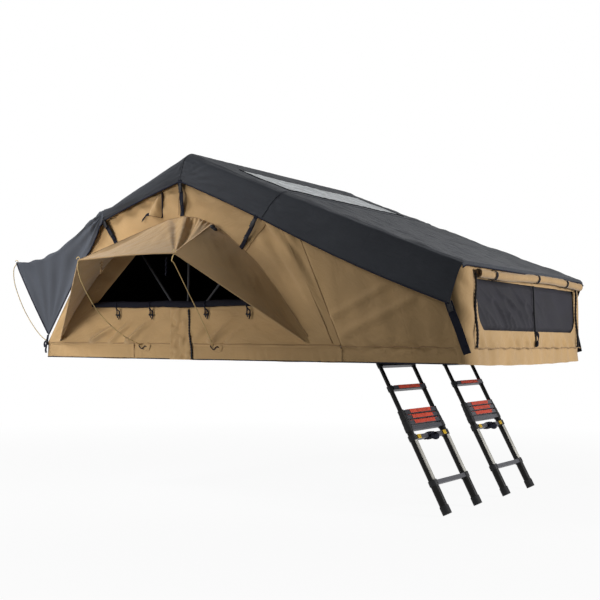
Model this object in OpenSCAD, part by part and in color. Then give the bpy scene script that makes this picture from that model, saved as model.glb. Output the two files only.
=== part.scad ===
// Fold-out roof top tent with a window hood, a rain fly and a covered entrance, open.
// Origin: centre of the rack bolt pattern, on the underside of the rack rails.
// +X points from the fixed half to the fold-out half, +Z is up, the window hood is on the -Y side.

/* [Base] */
// Length of each base half, away from the hinge line
base_l = 1200; // [1150:10:1300]
// Width of the base, along the hinge line
base_w = 2190; // [2100:10:2300]
// Height of a base panel, deck and ribs together
panel_h = 50; // [40:1:60]
// Thickness of the deck sheet
deck_t = 2.5; // [2:0.5:4]
// Thickness of a rib under the deck
rib_t = 4; // [3:0.5:6]
// Number of ribs under each deck
rib_count = 7; // [4:1:9]
// Width of the edge frame's top block
rim_w = 20; // [18:1:24]
// Height of the edge frame's top block above the deck
rim_lip = 20; // [18:1:24]
// Wall of the edge frame below its top block
rim_wall = 3; // [2:0.5:5]
// Diameter of the keder channel in the edge frame
keder_d = 8; // [6:0.5:9]
// Slot of the keder channel
keder_slot = 3; // [2:0.5:4]
// Play between the panel and its edge frame
panel_play = 0.3; // [0.1:0.1:0.6]

/* [Rack rails] */
// Height of a rack rail
rail_h = 30; // [25:1:40]
// Width of a rack rail over its flanges
rail_w = 90; // [80:1:110]
// Width of a rack rail's channel
rail_channel_w = 50; // [40:1:60]
// Wall of a rack rail
rail_wall = 3; // [2:0.5:5]
// Length of a rack rail
rail_l = 2000; // [1700:10:2080]
// Distance between the two rack rails
rail_pitch = 700; // [600:10:800]
// Distance between the bolt holes of one rail
bolt_pitch = 900; // [700:10:1200]
// Diameter of a bolt hole
bolt_hole_d = 9; // [8:0.5:11]

/* [Mattress] */
// Thickness of the mattress
mattress_t = 65; // [50:1:70]
// Play around the mattress
mattress_play = 6; // [4:1:10]
// How far the mattress sides draw in between the corners
mattress_draw = 10; // [4:1:14]
// How far the mattress rounds off at its top edge
mattress_crown = 14; // [8:1:20]

/* [Main hinge] */
// Height of the hinge axis above the mattress
fold_gap = 45; // [42:1:60]
// Diameter of a pivot bolt
pivot_d = 12; // [10:0.5:14]
// Radial running clearance on a pivot
pivot_play = 0.05; // [0.02:0.01:0.1]
// Thickness of a hinge ear
ear_t = 6; // [5:0.5:8]
// Radius of a hinge ear round its pivot
ear_r = 20; // [17:1:24]
// Length of a hinge ear's foot
ear_foot_l = 110; // [90:5:130]
// Width of a hinge ear's foot flange
ear_foot_w = 45; // [35:1:48]
// Height of a pivot bolt's head and nut
bolt_head_h = 6; // [5:0.5:8]
// Diameter of a pivot bolt's head and nut
bolt_head_d = 22; // [18:0.5:26]
// Play between the pieces stacked on a pivot bolt
stack_play = 3; // [1:0.5:4]
// Room between the nut and the tent wall
wall_room = 10; // [6:1:14]

/* [Hoops] */
// Outer diameter of a hoop tube
hoop_d = 19; // [16:0.5:22]
// Wall of a hoop tube
hoop_wall = 1.5; // [1:0.25:2.5]
// Bend radius of a hoop's corners
hoop_bend = 60; // [45:1:80]
// Width of a hoop's eye
eye_w = 22; // [20:1:24]
// Radius of a hoop's eye
eye_r = 15; // [13:0.5:17]
// Radius of the rear hoop
rear_r = 1046; // [980:1:1060]
// Angle of the rear hoop from the fold-out direction
rear_angle = 128.4; // [120:0.1:136]
// Radius of the ridge hoop
ridge_r = 1122; // [1085:1:1122]
// Angle of the ridge hoop from the fold-out direction
ridge_angle = 89.5; // [84:0.1:96]
// Radius of the front hoop
front_r = 1147; // [1145:1:1165]
// Angle of the front hoop from the fold-out direction
front_angle = 47.8; // [47:0.1:54]
// Length of the entrance hoop
entrance_r = 877; // [840:1:885]
// Angle of the entrance hoop from the fold-out direction
entrance_angle = 27.9; // [24:0.1:32]
// Diameter of the entrance hoop's pins
entrance_pin_d = 10; // [8:0.5:12]
// How far the entrance hoop's pins stand out past the base
entrance_out = 15; // [10:1:22]
// Height of the entrance hoop's pins above the mattress
entrance_up = 20; // [17:1:21]

/* [Tent fabric] */
// Thickness of the tent cloth
cloth_t = 2.5; // [2:0.5:3.5]
// Thickness of the rain fly
fly_t = 2.5; // [2:0.5:3.5]
// Seam gap between neighbouring cloth pieces
seam = 0.3; // [0.2:0.1:0.5]
// Height of the side walls' lower hem
hem_z = 88; // [84:1:95]
// Height of the window sill
sill_z = 350; // [320:5:380]
// Half length of the window sill
sill_half = 775; // [700:5:780]
// Height of the window's top
window_top_z = 815; // [760:5:830]
// Half length of the window's top
window_top_half = 250; // [200:5:280]
// Diameter of the rolled screen on the sill
screen_roll_d = 38; // [30:1:46]
// Half width of the door in the inner front wall
door_half = 620; // [500:10:700]
// Height of the door's sill
door_low_z = 190; // [170:5:240]
// Height of the door's top
door_top_z = 860; // [780:5:900]

/* [Window hood] */
// Half length of the hood along the wall's foot
hood_foot_half = 1050; // [1000:5:1080]
// Height of the hood's foot
hood_foot_z = 112; // [106:1:130]
// Half length of the hood at its upper corners
hood_top_half = 250; // [220:5:280]
// Height of the hood's upper corners
hood_top_z = 885; // [860:5:900]
// Height of the hood's apex
hood_apex_z = 945; // [920:5:960]
// Half distance between the hood's tips
hood_tip_half = 416; // [380:2:460]
// How far the hood's tips stand out from the wall
hood_reach = 567; // [480:5:620]
// Height of the hood's tips
hood_tip_z = 647; // [600:5:690]
// Sag of the hood's cloth between its edges
hood_sag = 22; // [8:1:34]
// Diameter of a sprung rod
rod_d = 6; // [5:0.5:8]
// How far a sprung rod bows out
rod_bow = 80; // [40:5:110]
// Half distance between the feet of the hood's rods
rod_foot_half = 300; // [270:5:340]

/* [Rain fly] */
// Half width of the rain fly
fly_half = 1150; // [1140:2:1170]
// Depth of the fly's side at the rear hoop
drop_rear = 72; // [60:2:90]
// Depth of the fly's side at the ridge hoop
drop_ridge = 150; // [130:2:170]
// Depth of the fly's side at the front hoop
drop_front = 158; // [140:2:180]
// Depth of the fly's side at the entrance hoop
drop_entrance = 238; // [210:2:250]
// How far the fly's hem draws back at the front hoop
draw_front = 130; // [90:5:150]
// How far the fly's hem draws back at the entrance hoop
draw_entrance = 78; // [50:2:100]
// How far the fly's hem tucks in towards the wall
hem_tuck = 12; // [8:1:16]
// How far the rear awning's tips stand out from the hinge line
awning_reach = 1570; // [1480:10:1620]
// Height of the rear awning's tips
awning_tip_z = 695; // [640:5:740]
// Half distance between the rear awning's tips
awning_tip_half = 1062; // [1030:2:1080]
// Sag of the rear awning between its edges
awning_sag = 36; // [16:2:50]
// Width of a webbing strap
strap_w = 33; // [25:1:38]
// Thickness of a webbing strap
strap_t = 2; // [1.5:0.5:3]
// Length of the skylight panel, along the slope
skylight_l = 470; // [380:10:500]
// Half width of the skylight panel
skylight_half = 800; // [600:10:900]

/* [Entrance] */
// How far the entrance's foot stands out from the hinge line
entrance_foot_x = 2030; // [2015:1:2050]
// Half width of the entrance at its foot
entrance_foot_half = 1035; // [1000:5:1070]
// Half width of the front mesh at its top
mesh_half = 905; // [800:5:940]
// Height of the front mesh's lower edge
mesh_low = 200; // [170:5:230]
// Height of the front mesh's upper edge
mesh_top = 500; // [470:5:505]
// Corner radius of the front mesh
mesh_corner = 110; // [60:5:140]
// Diameter of the rolled front cover
cover_roll_d = 56; // [44:1:60]
// Half length of the rolled front cover
cover_roll_half = 960; // [880:5:980]

/* [Ladders] */
// Distance of a ladder's middle from the middle of the base
ladder_y = 500; // [440:5:560]
// Distance between a ladder's rails
ladder_w = 486; // [420:2:520]
// Lean of the ladders
ladder_lean = 27.6; // [20:0.1:32]
// Distance of the ladder pins from the edge frame
ladder_out = 49; // [46:1:60]
// Height of the ladder pins above the rail underside
ladder_pin_z = 52; // [48:1:60]
// Diameter of a ladder pin
ladder_pin_d = 8; // [6:0.5:10]
// Outer diameter of the topmost tube
tube_d = 26; // [24:0.5:28]
// Wall of every ladder tube
tube_wall = 1.2; // [1:0.1:1.4]
// Radial play between one tube and the next
tube_play = 0.6; // [0.5:0.1:0.8]
// Length of a ladder tube below its rung
tube_l = 300; // [280:2:310]
// Length of the second lowest tube below its rung
tube_2_l = 350; // [340:2:360]
// Height of a collar
collar_h = 35; // [30:0.5:35.5]
// How far a collar stands proud of its tube
collar_proud = 4; // [3:0.5:6]
// Depth of a rung
rung_depth = 36; // [30:1:40]
// Height of a rung
rung_h = 27; // [22:1:29]
// Wall of a rung
rung_wall = 2.5; // [2:0.5:3.5]
// Height of a tread pad on a rung
tread_h = 2.5; // [1.5:0.5:3]
// Distance of the topmost rung below the pins
rung_8 = 80; // [75:1:85]
// Distance of the seventh rung below the pins
rung_7 = 246; // [240:1:252]
// Distance of the sixth rung below the pins
rung_6 = 414; // [408:1:418]
// Step from one stacked rung to the next
rung_stack = 36; // [36:0.5:38]
// Step from the third rung to the second
rung_2_step = 60; // [58:1:64]
// Step from the second rung to the lowest
rung_1_step = 300; // [280:1:302]
// Distance of the ladder's sole below the lowest rung
sole_step = 202; // [195:1:215]
// Thickness of a rubber foot's sole
foot_sole = 14; // [10:1:18]
// Wall of a rubber foot
foot_wall = 4; // [3:0.5:6]
// Height of a rubber foot
foot_h = 54; // [40:1:64]
// Length of a thumb latch
latch_l = 44; // [40:1:48]
// Height of a thumb latch
latch_h = 26; // [22:1:27]
// Thickness of a thumb latch
latch_t = 7; // [5:0.5:9]
// Travel of a thumb latch
latch_travel = 8; // [6:0.5:9]

/* [Hidden] */
$fn = 48;

// Sides of the tent, and the sign of y there
NEAR = -1;
FAR = 1;
cut = 1;

// Heights
deck_z = rail_h + panel_h;
rim_z = deck_z + rim_lip;
mattress_z = deck_z + mattress_t;
hinge_z = mattress_z + fold_gap;
hinge_x = base_l / 2;

// Pieces stacked on a pivot bolt, from the tent wall inwards
base_half = base_w / 2;
nut_y = base_half - wall_room;
foldout_ear_y = nut_y - bolt_head_h;
stack_pitch = eye_w + stack_play;
front_y = foldout_ear_y - ear_t - stack_play - eye_w / 2;
ridge_y = front_y - stack_pitch;
rear_y = ridge_y - stack_pitch;
fixed_ear_y = rear_y - eye_w / 2 - stack_play;
bolt_head_y = fixed_ear_y - ear_t;
mattress_half = bolt_head_y - bolt_head_h - mattress_play;
// Room between a hinge ear's foot and the end of the edge frame
ear_clear = 50;
ear_room = ear_foot_l + ear_clear;
pivot_r = pivot_d / 2;
hoop_r = hoop_d / 2;

// Entrance hoop, beside the legs of the front hoop
leg_play = 4;
entrance_y = front_y + hoop_d + leg_play;
entrance_pin_x = base_l + entrance_out;
entrance_pin_z = mattress_z + entrance_up;
entrance_bracket_y = entrance_y - eye_w / 2 - stack_play;

// Middle of each hoop's crossbar and the feet of the end walls, in the hinge frame as [x, z]
REAR = [rear_r * cos(rear_angle), hinge_z + rear_r * sin(rear_angle)];
RIDGE = [ridge_r * cos(ridge_angle), hinge_z + ridge_r * sin(ridge_angle)];
FRONT = [front_r * cos(front_angle), hinge_z + front_r * sin(front_angle)];
ENTRANCE = [entrance_pin_x + entrance_r * cos(entrance_angle),
  entrance_pin_z + entrance_r * sin(entrance_angle)];
foot_in = hoop_r;
REAR_FOOT = [foot_in - base_l, rim_z + seam];
DOOR_FOOT = [base_l - foot_in, rim_z + seam];

// Lines of cloth that run over the hoops
canopy_in = hoop_r + seam;
canopy_out = canopy_in + cloth_t;
fly_out = canopy_out + seam + fly_t;
body_line = [REAR_FOOT, REAR, RIDGE, FRONT, DOOR_FOOT];
overhang_play = 2;
fly_overhang = hoop_r + cloth_t + fly_t + overhang_play;
FLY_END = ENTRANCE + unit(ENTRANCE - FRONT) * fly_overhang;
fly_line = [REAR, RIDGE, FRONT, FLY_END];
wall_in = base_half + seam;
wall_out = wall_in + cloth_t;

function lerp(a, b, t) = a + (b - a) * t;
function unit(v) = v / norm(v);
function left_of(a, b) = let (d = unit(b - a)) [-d[1], d[0]];
// A line moved sideways by d, with mitred corners
function beside(line, d) = [for (i = [0 : len(line) - 1]) let (
  n0 = left_of(line[max(i - 1, 0)], line[max(i, 1)]),
  n1 = left_of(line[min(i, len(line) - 2)], line[min(i + 1, len(line) - 1)]),
  m = unit(n0 + n1)) line[i] + m * d / (m * n0)];
// Height of a line at x
function height_at(line, x) = lookup(x, line);
// A point on a line, t from 0 to the number of its stretches
function along(line, t) = let (i = min(floor(t), len(line) - 2)) lerp(line[i], line[i + 1], t - i);
function pin(g, i, j) = g[max(0, min(len(g) - 1, i))][max(0, min(len(g[0]) - 1, j))];
function grid_normal(g, i, j) =
  unit(cross(pin(g, i + 1, j) - pin(g, i - 1, j), pin(g, i, j + 1) - pin(g, i, j - 1)));
function two(a, b, c, d) = [[a, b, c], [a, c, d]];

// A closed sheet of cloth: the grid is its outer face, t its thickness
module sheet(g, t) {
  r = len(g);
  c = len(g[0]);
  n = r * c;
  outer = [for (i = [0 : r - 1]) for (j = [0 : c - 1]) g[i][j]];
  inner = [for (i = [0 : r - 1]) for (j = [0 : c - 1]) g[i][j] - t * grid_normal(g, i, j)];
  faces = [
    for (i = [0 : r - 2]) for (j = [0 : c - 2]) let (p = i * c + j) each [
      [p, p + c + 1, p + c], [p, p + 1, p + c + 1],
      [n + p, n + p + c, n + p + c + 1], [n + p, n + p + c + 1, n + p + 1]],
    for (j = [0 : c - 2]) each two(j + 1, j, n + j, n + j + 1),
    for (j = [0 : c - 2]) let (p = (r - 1) * c + j) each two(p, p + 1, n + p + 1, n + p),
    for (i = [0 : r - 2]) let (p = i * c) each two(p, p + c, n + p + c, n + p),
    for (i = [0 : r - 2]) let (p = i * c + c - 1) each two(p + c, p, n + p, n + p + c)];
  polyhedron(concat(outer, inner), faces);
}

// A round rod along points, of s sides
module rod(points, d, s = 8) {
  m = len(points);
  function way(i) = unit(points[min(i + 1, m - 1)] - points[max(i - 1, 0)]);
  function ring(i) = let (w = way(i), u = unit(cross(w, [0.3, 1, 0.2])), v = cross(w, u))
    [for (k = [0 : s - 1]) points[i] + d / 2 * (cos(360 * k / s) * u + sin(360 * k / s) * v)];
  faces = [
    [for (k = [0 : s - 1]) k],
    [for (k = [s - 1 : -1 : 0]) (m - 1) * s + k],
    for (i = [0 : m - 2]) for (k = [0 : s - 1]) let (a = i * s + k, b = i * s + (k + 1) % s)
      each two(a, a + s, b + s, b)];
  polyhedron([for (i = [0 : m - 1]) each ring(i)], faces);
}

// Puts what is modelled from the hinge line into the tent's frame
module from_hinge() { translate([hinge_x, 0, 0]) children(); }

// An outline in x and z, y from y0 to y1
module slab(outline, y0, y1) {
  translate([0, y1, 0]) rotate([90, 0, 0]) linear_extrude(y1 - y0) polygon(outline);
}

module both_sides() {
  children();
  mirror([0, 1, 0]) children();
}

// Base halves

// Gap of each panel from the hinge line
hinge_gap = 0.5;
module panel(x0) {
  inner_half = base_half - rim_wall - panel_play;
  l = base_l - rim_wall - panel_play - hinge_gap;
  translate([x0, -inner_half, deck_z - deck_t]) cube([l, 2 * inner_half, deck_t]);
  for (k = [0 : rib_count - 1]) {
    y = lerp(-inner_half, inner_half - rib_t, k / (rib_count - 1));
    translate([x0, y, rail_h]) cube([l, rib_t, panel_h - deck_t / 2]);
  }
}

module fixed_base_panel() {
  color("silver") from_hinge() panel(rim_wall + panel_play - base_l);
}

module foldout_base_panel() {
  color("silver") from_hinge() panel(hinge_gap);
}

// Section of the edge frame: u runs inwards from its outer face
module rim_section() {
  difference() {
    union() {
      translate([0, rail_h]) square([rim_wall, panel_h + rim_lip]);
      translate([0, deck_z]) square([rim_w, rim_lip]);
    }
    translate([rim_w / 2, deck_z + rim_lip / 2]) circle(d = keder_d);
    translate([-cut, deck_z + rim_lip / 2 - keder_slot / 2]) square([rim_w / 2 + cut, keder_slot]);
  }
}

// Edge frame of a base half that lies at x below 0
module edge_frame() {
  run = base_l - ear_room;
  both_sides() translate([-base_l, -base_half, 0]) rotate([90, 0, 90]) linear_extrude(run)
    rim_section();
  translate([-base_l, 0, 0]) rotate([90, 0, 0]) linear_extrude(base_w, center = true) rim_section();
}

module fixed_edge_frame() {
  color("gainsboro") from_hinge() edge_frame();
}

module foldout_edge_frame() {
  color("gainsboro") from_hinge() mirror([1, 0, 0]) edge_frame();
}

module rail_section() {
  half = rail_channel_w / 2;
  translate([-half, 0]) square([rail_channel_w, rail_wall]);
  for (s = [-1, 1]) {
    translate([s * (half - rail_wall / 2) - rail_wall / 2, 0]) square([rail_wall, rail_h]);
    translate([s > 0 ? half - rail_wall : -rail_w / 2, rail_h - rail_wall])
      square([rail_w / 2 - half + rail_wall, rail_wall]);
  }
}

module rack_rails() {
  color("darkgray") for (x = [-rail_pitch / 2, rail_pitch / 2]) {
    difference() {
      translate([x, 0, 0]) rotate([90, 0, 0]) linear_extrude(rail_l, center = true) rail_section();
      for (y = [-bolt_pitch / 2, bolt_pitch / 2])
        translate([x, y, -cut]) cylinder(d = bolt_hole_d, h = rail_wall + 2 * cut);
    }
  }
}

// A hinge ear that stands on the deck at x below 0, its outer face at y, its flange towards the wall or not
ear_low_angle = 30;
ear_high_angle = 40;
module hinge_ear(y, flange_way) {
  tail_h = (hinge_z - deck_z) / 4;
  foot = -ear_r - ear_foot_l;
  difference() {
    union() {
      translate([0, y, hinge_z]) rotate([90, 0, 0]) cylinder(r = ear_r, h = ear_t);
      slab([[foot, deck_z], [-ear_r, deck_z],
        [ear_r * sin(ear_low_angle), hinge_z - ear_r * cos(ear_low_angle)],
        [-ear_r * sin(ear_high_angle), hinge_z + ear_r * cos(ear_high_angle)],
        [foot, deck_z + tail_h]], y - ear_t, y);
      translate([foot, flange_way > 0 ? y - ear_t : y - ear_foot_w, deck_z])
        cube([ear_foot_l, ear_foot_w, ear_t]);
    }
    translate([0, y + cut, hinge_z]) rotate([90, 0, 0])
      cylinder(r = pivot_r + pivot_play, h = ear_t + 2 * cut);
  }
}

module fixed_hinge_ears() {
  color("dimgray") from_hinge() both_sides() hinge_ear(fixed_ear_y, 1);
}

module foldout_hinge_ears() {
  color("dimgray") from_hinge() mirror([1, 0, 0]) both_sides() hinge_ear(foldout_ear_y, -1);
}

module pivot_bolts() {
  color("lightgray") from_hinge() both_sides() translate([0, 0, hinge_z]) rotate([-90, 0, 0]) {
    translate([0, 0, bolt_head_y]) cylinder(r = pivot_r, h = nut_y - bolt_head_y);
    translate([0, 0, bolt_head_y - bolt_head_h]) cylinder(d = bolt_head_d, h = bolt_head_h);
    translate([0, 0, nut_y - bolt_head_h + seam]) cylinder(d = bolt_head_d, h = bolt_head_h - seam);
  }
}

// A mattress half: crowned on top, drawn in along its sides, flat on the deck
module mattress(x0, x1) {
  nx = 10;
  ny = 14;
  crown_power = 10;
  draw_power = 4;
  function edge(s) = 1 - pow(abs(s), crown_power);
  function draw(s) = mattress_draw * (1 - pow(s, draw_power));
  function spot(i, j, high) = let (u = 2 * i / nx - 1, v = 2 * j / ny - 1,
    half_x = (x1 - x0) / 2 - draw(v), half_y = mattress_half - draw(u),
    top = mattress_t - mattress_crown * (1 - edge(u) * edge(v)))
    [(x0 + x1) / 2 + u * half_x, v * half_y, deck_z + (high ? top : 0)];
  n = (nx + 1) * (ny + 1);
  c = ny + 1;
  points = [for (high = [true, false]) for (i = [0 : nx]) for (j = [0 : ny]) spot(i, j, high)];
  faces = [
    for (i = [0 : nx - 1]) for (j = [0 : ny - 1]) let (p = i * c + j) each [
      [p, p + c + 1, p + c], [p, p + 1, p + c + 1],
      [n + p, n + p + c, n + p + c + 1], [n + p, n + p + c + 1, n + p + 1]],
    for (j = [0 : ny - 1]) each two(j + 1, j, n + j, n + j + 1),
    for (j = [0 : ny - 1]) let (p = nx * c + j) each two(p, p + 1, n + p + 1, n + p),
    for (i = [0 : nx - 1]) let (p = i * c) each two(p, p + c, n + p + c, n + p),
    for (i = [0 : nx - 1]) let (p = i * c + ny) each two(p + c, p, n + p, n + p + c)];
  polyhedron(points, faces);
}

module fixed_mattress() {
  color("slategray") from_hinge() mattress(rim_w + mattress_play - base_l, -mattress_play);
}

module foldout_mattress() {
  color("slategray") from_hinge() mattress(mattress_play, base_l - rim_w - mattress_play);
}

// Skirt round a base half that lies at x below 0: two sides, and the end if asked
gusset_half = 95;
module skirt(with_end) {
  both_sides() translate([-base_l, -wall_out, 0]) cube([base_l - gusset_half, cloth_t, hem_z - seam]);
  if (with_end)
    translate([-base_l - seam - cloth_t, -base_half, 0]) cube([cloth_t, base_w, hem_z - seam]);
}

module fixed_skirt() {
  color("tan") from_hinge() skirt(true);
}

module foldout_skirt() {
  color("tan") from_hinge() mirror([1, 0, 0]) skirt(false);
}

// Brackets on the end of the fold-out half

ladder_pin_x = base_l + ladder_out;
ladder_plate_t = 5;
clevis_gap = 1;
bracket_up = 2;
module ladder_bracket(y) {
  inner = tube_d / 2 + clevis_gap;
  low = rail_h + bracket_up;
  high = deck_z + rim_lip / 4;
  reach = ladder_out + ladder_pin_d;
  translate([base_l, y - inner - ladder_plate_t, low])
    cube([ladder_plate_t, 2 * (inner + ladder_plate_t), high - low]);
  for (s = [-1, 1]) {
    y0 = s > 0 ? y + inner : y - inner - ladder_plate_t;
    slab([[base_l, low], [base_l + reach, ladder_pin_z - ladder_pin_d],
      [base_l + reach, ladder_pin_z + ladder_pin_d], [base_l, high]], y0, y0 + ladder_plate_t);
  }
  translate([ladder_pin_x, y + inner + 2 * ladder_plate_t, ladder_pin_z]) rotate([90, 0, 0])
    cylinder(d = ladder_pin_d, h = 2 * inner + 4 * ladder_plate_t);
}

module ladder_brackets() {
  color("dimgray") from_hinge() for (side = [NEAR, FAR]) for (s = [-1, 1])
    ladder_bracket(side * ladder_y + s * ladder_w / 2);
}

module entrance_hoop_brackets() {
  foot_x = base_l - rim_w;
  grow = entrance_pin_d;
  pin_end_y = base_half - 2 * seam;
  color("dimgray") from_hinge() both_sides() {
    slab([[foot_x, rim_z], [base_l, rim_z], [entrance_pin_x + grow, entrance_pin_z - grow],
      [entrance_pin_x + grow, entrance_pin_z + grow], [entrance_pin_x - grow, entrance_pin_z + grow],
      [foot_x, rim_z + grow]], entrance_bracket_y - ear_t, entrance_bracket_y);
    translate([foot_x, entrance_bracket_y - ear_foot_w, rim_z]) cube([rim_w, ear_foot_w, ear_t / 2]);
    translate([entrance_pin_x, pin_end_y, entrance_pin_z]) rotate([90, 0, 0])
      cylinder(d = entrance_pin_d, h = pin_end_y - entrance_bracket_y + ear_t);
  }
}

// Hoops

// A hoop in the plane x = 0 with its eyes on the y axis: half is its half width, r its height
module hoop_path(half, r, d) {
  leg = r - hoop_bend;
  both_sides() {
    translate([0, half, 0]) cylinder(d = d, h = leg);
    translate([0, half - hoop_bend, leg]) rotate([90, 0, 90]) rotate_extrude(angle = 90)
      translate([hoop_bend, 0]) circle(d = d);
  }
  translate([0, half - hoop_bend, r]) rotate([90, 0, 0]) cylinder(d = d, h = 2 * (half - hoop_bend));
}

module hoop(half, r, angle, x, z, bore_r) {
  translate([x, 0, z]) rotate([0, 90 - angle, 0]) difference() {
    union() {
      difference() {
        hoop_path(half, r, hoop_d);
        hoop_path(half, r, hoop_d - 2 * hoop_wall);
      }
      both_sides() translate([0, half + eye_w / 2, 0]) rotate([90, 0, 0]) cylinder(r = eye_r, h = eye_w);
    }
    both_sides() translate([0, half + eye_w / 2 + cut, 0]) rotate([90, 0, 0])
      cylinder(r = bore_r, h = eye_w + 2 * cut);
  }
}

module rear_hoop() {
  color("dimgray") from_hinge() hoop(rear_y, rear_r, rear_angle, 0, hinge_z, pivot_r + pivot_play);
}

module ridge_hoop() {
  color("dimgray") from_hinge() hoop(ridge_y, ridge_r, ridge_angle, 0, hinge_z, pivot_r + pivot_play);
}

module front_hoop() {
  color("dimgray") from_hinge() hoop(front_y, front_r, front_angle, 0, hinge_z, pivot_r + pivot_play);
}

module entrance_hoop() {
  color("dimgray") from_hinge() hoop(entrance_y, entrance_r, entrance_angle, entrance_pin_x, entrance_pin_z,
    entrance_pin_d / 2 + pivot_play);
}

// Inner tent

body_in = beside(body_line, canopy_in);
body_out = beside(body_line, canopy_out);
side_outline = concat([[-base_l, hem_z], [body_out[0][0], rim_z]], body_out,
  [[body_out[4][0], rim_z], [base_l, hem_z]]);
window_outline = [[-sill_half, sill_z], [sill_half, sill_z], [window_top_half, window_top_z],
  [-window_top_half, window_top_z]];

module near_wall() {
  color("tan") from_hinge() difference() {
    slab(side_outline, -wall_out, -wall_in);
    slab(window_outline, -wall_out - cut, -wall_in + cut);
  }
}

module far_wall() {
  color("tan") from_hinge() slab(side_outline, wall_in, wall_out);
}

// One stretch of the cloth over the hoops
module cloth_stretch(i) {
  slab([body_in[i], body_in[i + 1], body_out[i + 1], body_out[i]], -wall_in, wall_in);
}

module rear_wall() {
  color("tan") from_hinge() cloth_stretch(0);
}

module roof_canopy() {
  color("tan") from_hinge() {
    cloth_stretch(1);
    cloth_stretch(2);
  }
}

module door_wall() {
  color("tan") from_hinge() difference() {
    cloth_stretch(3);
    translate([0, -door_half, door_low_z]) cube([base_l * 2, 2 * door_half, door_top_z - door_low_z]);
    both_sides() translate([0, entrance_bracket_y - ear_foot_w - mattress_play, 0])
      cube([base_l * 2, base_half, entrance_pin_z + entrance_pin_d + mattress_play]);
  }
}

module hinge_gussets() {
  gusset_z = 330;
  lean = 40;
  color("tan") from_hinge() both_sides()
    slab([[seam - gusset_half, 0], [gusset_half - seam, 0], [gusset_half - lean, gusset_z], [0, gusset_z]],
      -wall_out - seam - cloth_t, -wall_out - seam);
}

module vent_flap() {
  vent_l = 130;
  vent_h = 140;
  vent_x = -300;
  vent_z = 975;
  vent_slant = 25;
  color("darkkhaki") from_hinge() slab([[vent_x, vent_z], [vent_x + vent_l, vent_z - vent_slant],
    [vent_x + vent_l, vent_z + vent_h], [vent_x, vent_z + vent_h / 2]],
    -wall_out - seam - cloth_t, -wall_out - seam);
}

module far_window_flap() {
  color("tan") from_hinge() slab(window_outline, wall_out + seam, wall_out + seam + cloth_t);
}

module window_screen_roll() {
  half = sill_half - screen_roll_d;
  color("darkslategray") from_hinge() translate([-half, -wall_out - seam - screen_roll_d / 2, sill_z])
    rotate([0, 90, 0]) cylinder(d = screen_roll_d, h = 2 * half);
}

// Window hood: ruled between its line on the wall and its free edge, with gathered cloth under the apex

hood_y = wall_out + seam;
// Gathers under the apex: how many, and how deep
hood_gathers = 9;
hood_gather = 8;
// How the free edge ends at the wall's foot, and how its middle draws back and lifts
hood_foot_draw = 30;
hood_foot_out = 10;
hood_mid_draw = 16;
hood_mid_lift = 14;
function hood_wall(u) = along([[-hood_foot_half, hood_foot_z], [-hood_top_half, hood_top_z],
  [0, hood_apex_z], [hood_top_half, hood_top_z], [hood_foot_half, hood_foot_z]], u);
function hood_edge(u) = along([[-hood_foot_half + hood_foot_draw, hood_foot_out, hood_foot_z],
  [-hood_tip_half, hood_reach, hood_tip_z], [0, hood_reach - hood_mid_draw, hood_tip_z + hood_mid_lift],
  [hood_tip_half, hood_reach, hood_tip_z],
  [hood_foot_half - hood_foot_draw, hood_foot_out, hood_foot_z]], u);
function hood_spot(u, v) = let (w = hood_wall(u), e = hood_edge(u), swell = sin(180 * v),
  mid = abs(u - 2) < 1 ? 1 - abs(u - 2) : 0, gather = hood_gather * mid * swell * sin(90 * hood_gathers * u))
  [lerp(w[0], e[0], v), -hood_y - e[1] * v, lerp(w[1], e[2], v) - hood_sag * swell + gather];

module window_hood() {
  nu = 32;
  nv = 8;
  color("tan") from_hinge()
    sheet([for (j = [0 : nv]) [for (i = [nu : -1 : 0]) hood_spot(4 * i / nu, j / nv)]], cloth_t);
}

// A sprung rod from its foot to its tip, bowed out towards bulge
rod_seat = 0.5;
rod_steps = 14;
function bowed(a, b, bulge, n) = [for (i = [0 : n]) let (t = i / n) lerp(a, b, t) + bulge * sin(180 * t)];

module hood_rods() {
  foot_y = -wall_out - seam - rod_d / 4;
  under = cloth_t + rod_d / 2 + seam;
  below = 1.2 * under;
  bulge = [0, -0.7, -0.5] * rod_bow;
  color("darkgoldenrod") from_hinge() for (s = [-1, 1])
    rod(bowed([s * rod_foot_half, foot_y, hem_z],
      [s * (hood_tip_half - 2 * under), -hood_y - hood_reach + under, hood_tip_z - below],
      bulge, rod_steps), rod_d);
}

// Rain fly

fly_top = beside(fly_line, fly_out);
draw_rear = -10;
draw_ridge = 40;
// Width of the round at the fly's edge, and the share of the half width between its inner points
fly_round = 40;
fly_share = 0.4;
fly_hem = [fly_top[0] - [draw_rear, drop_rear], fly_top[1] - [draw_ridge, drop_ridge],
  fly_top[2] - [draw_front, drop_front], fly_top[3] - [draw_entrance, drop_entrance]];
// Points across the fly at t along the hoops, from the near hem over the top to the far hem
function fly_row(t) = let (p = along(fly_top, t), h = along(fly_hem, t), mid = lerp(p, h, 0.5),
  step = fly_share * fly_half, inside = fly_half - fly_round)
  [[h[0], hem_tuck - fly_half, h[1]], [mid[0], hem_tuck / 4 - fly_half, mid[1]], [p[0], -fly_half, p[1]],
   [p[0], -inside, p[1]], for (k = [-2 : 2]) [p[0], k * step, p[1]], [p[0], inside, p[1]],
   [p[0], fly_half, p[1]], [mid[0], fly_half - hem_tuck / 4, mid[1]], [h[0], fly_half - hem_tuck, h[1]]];

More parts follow.
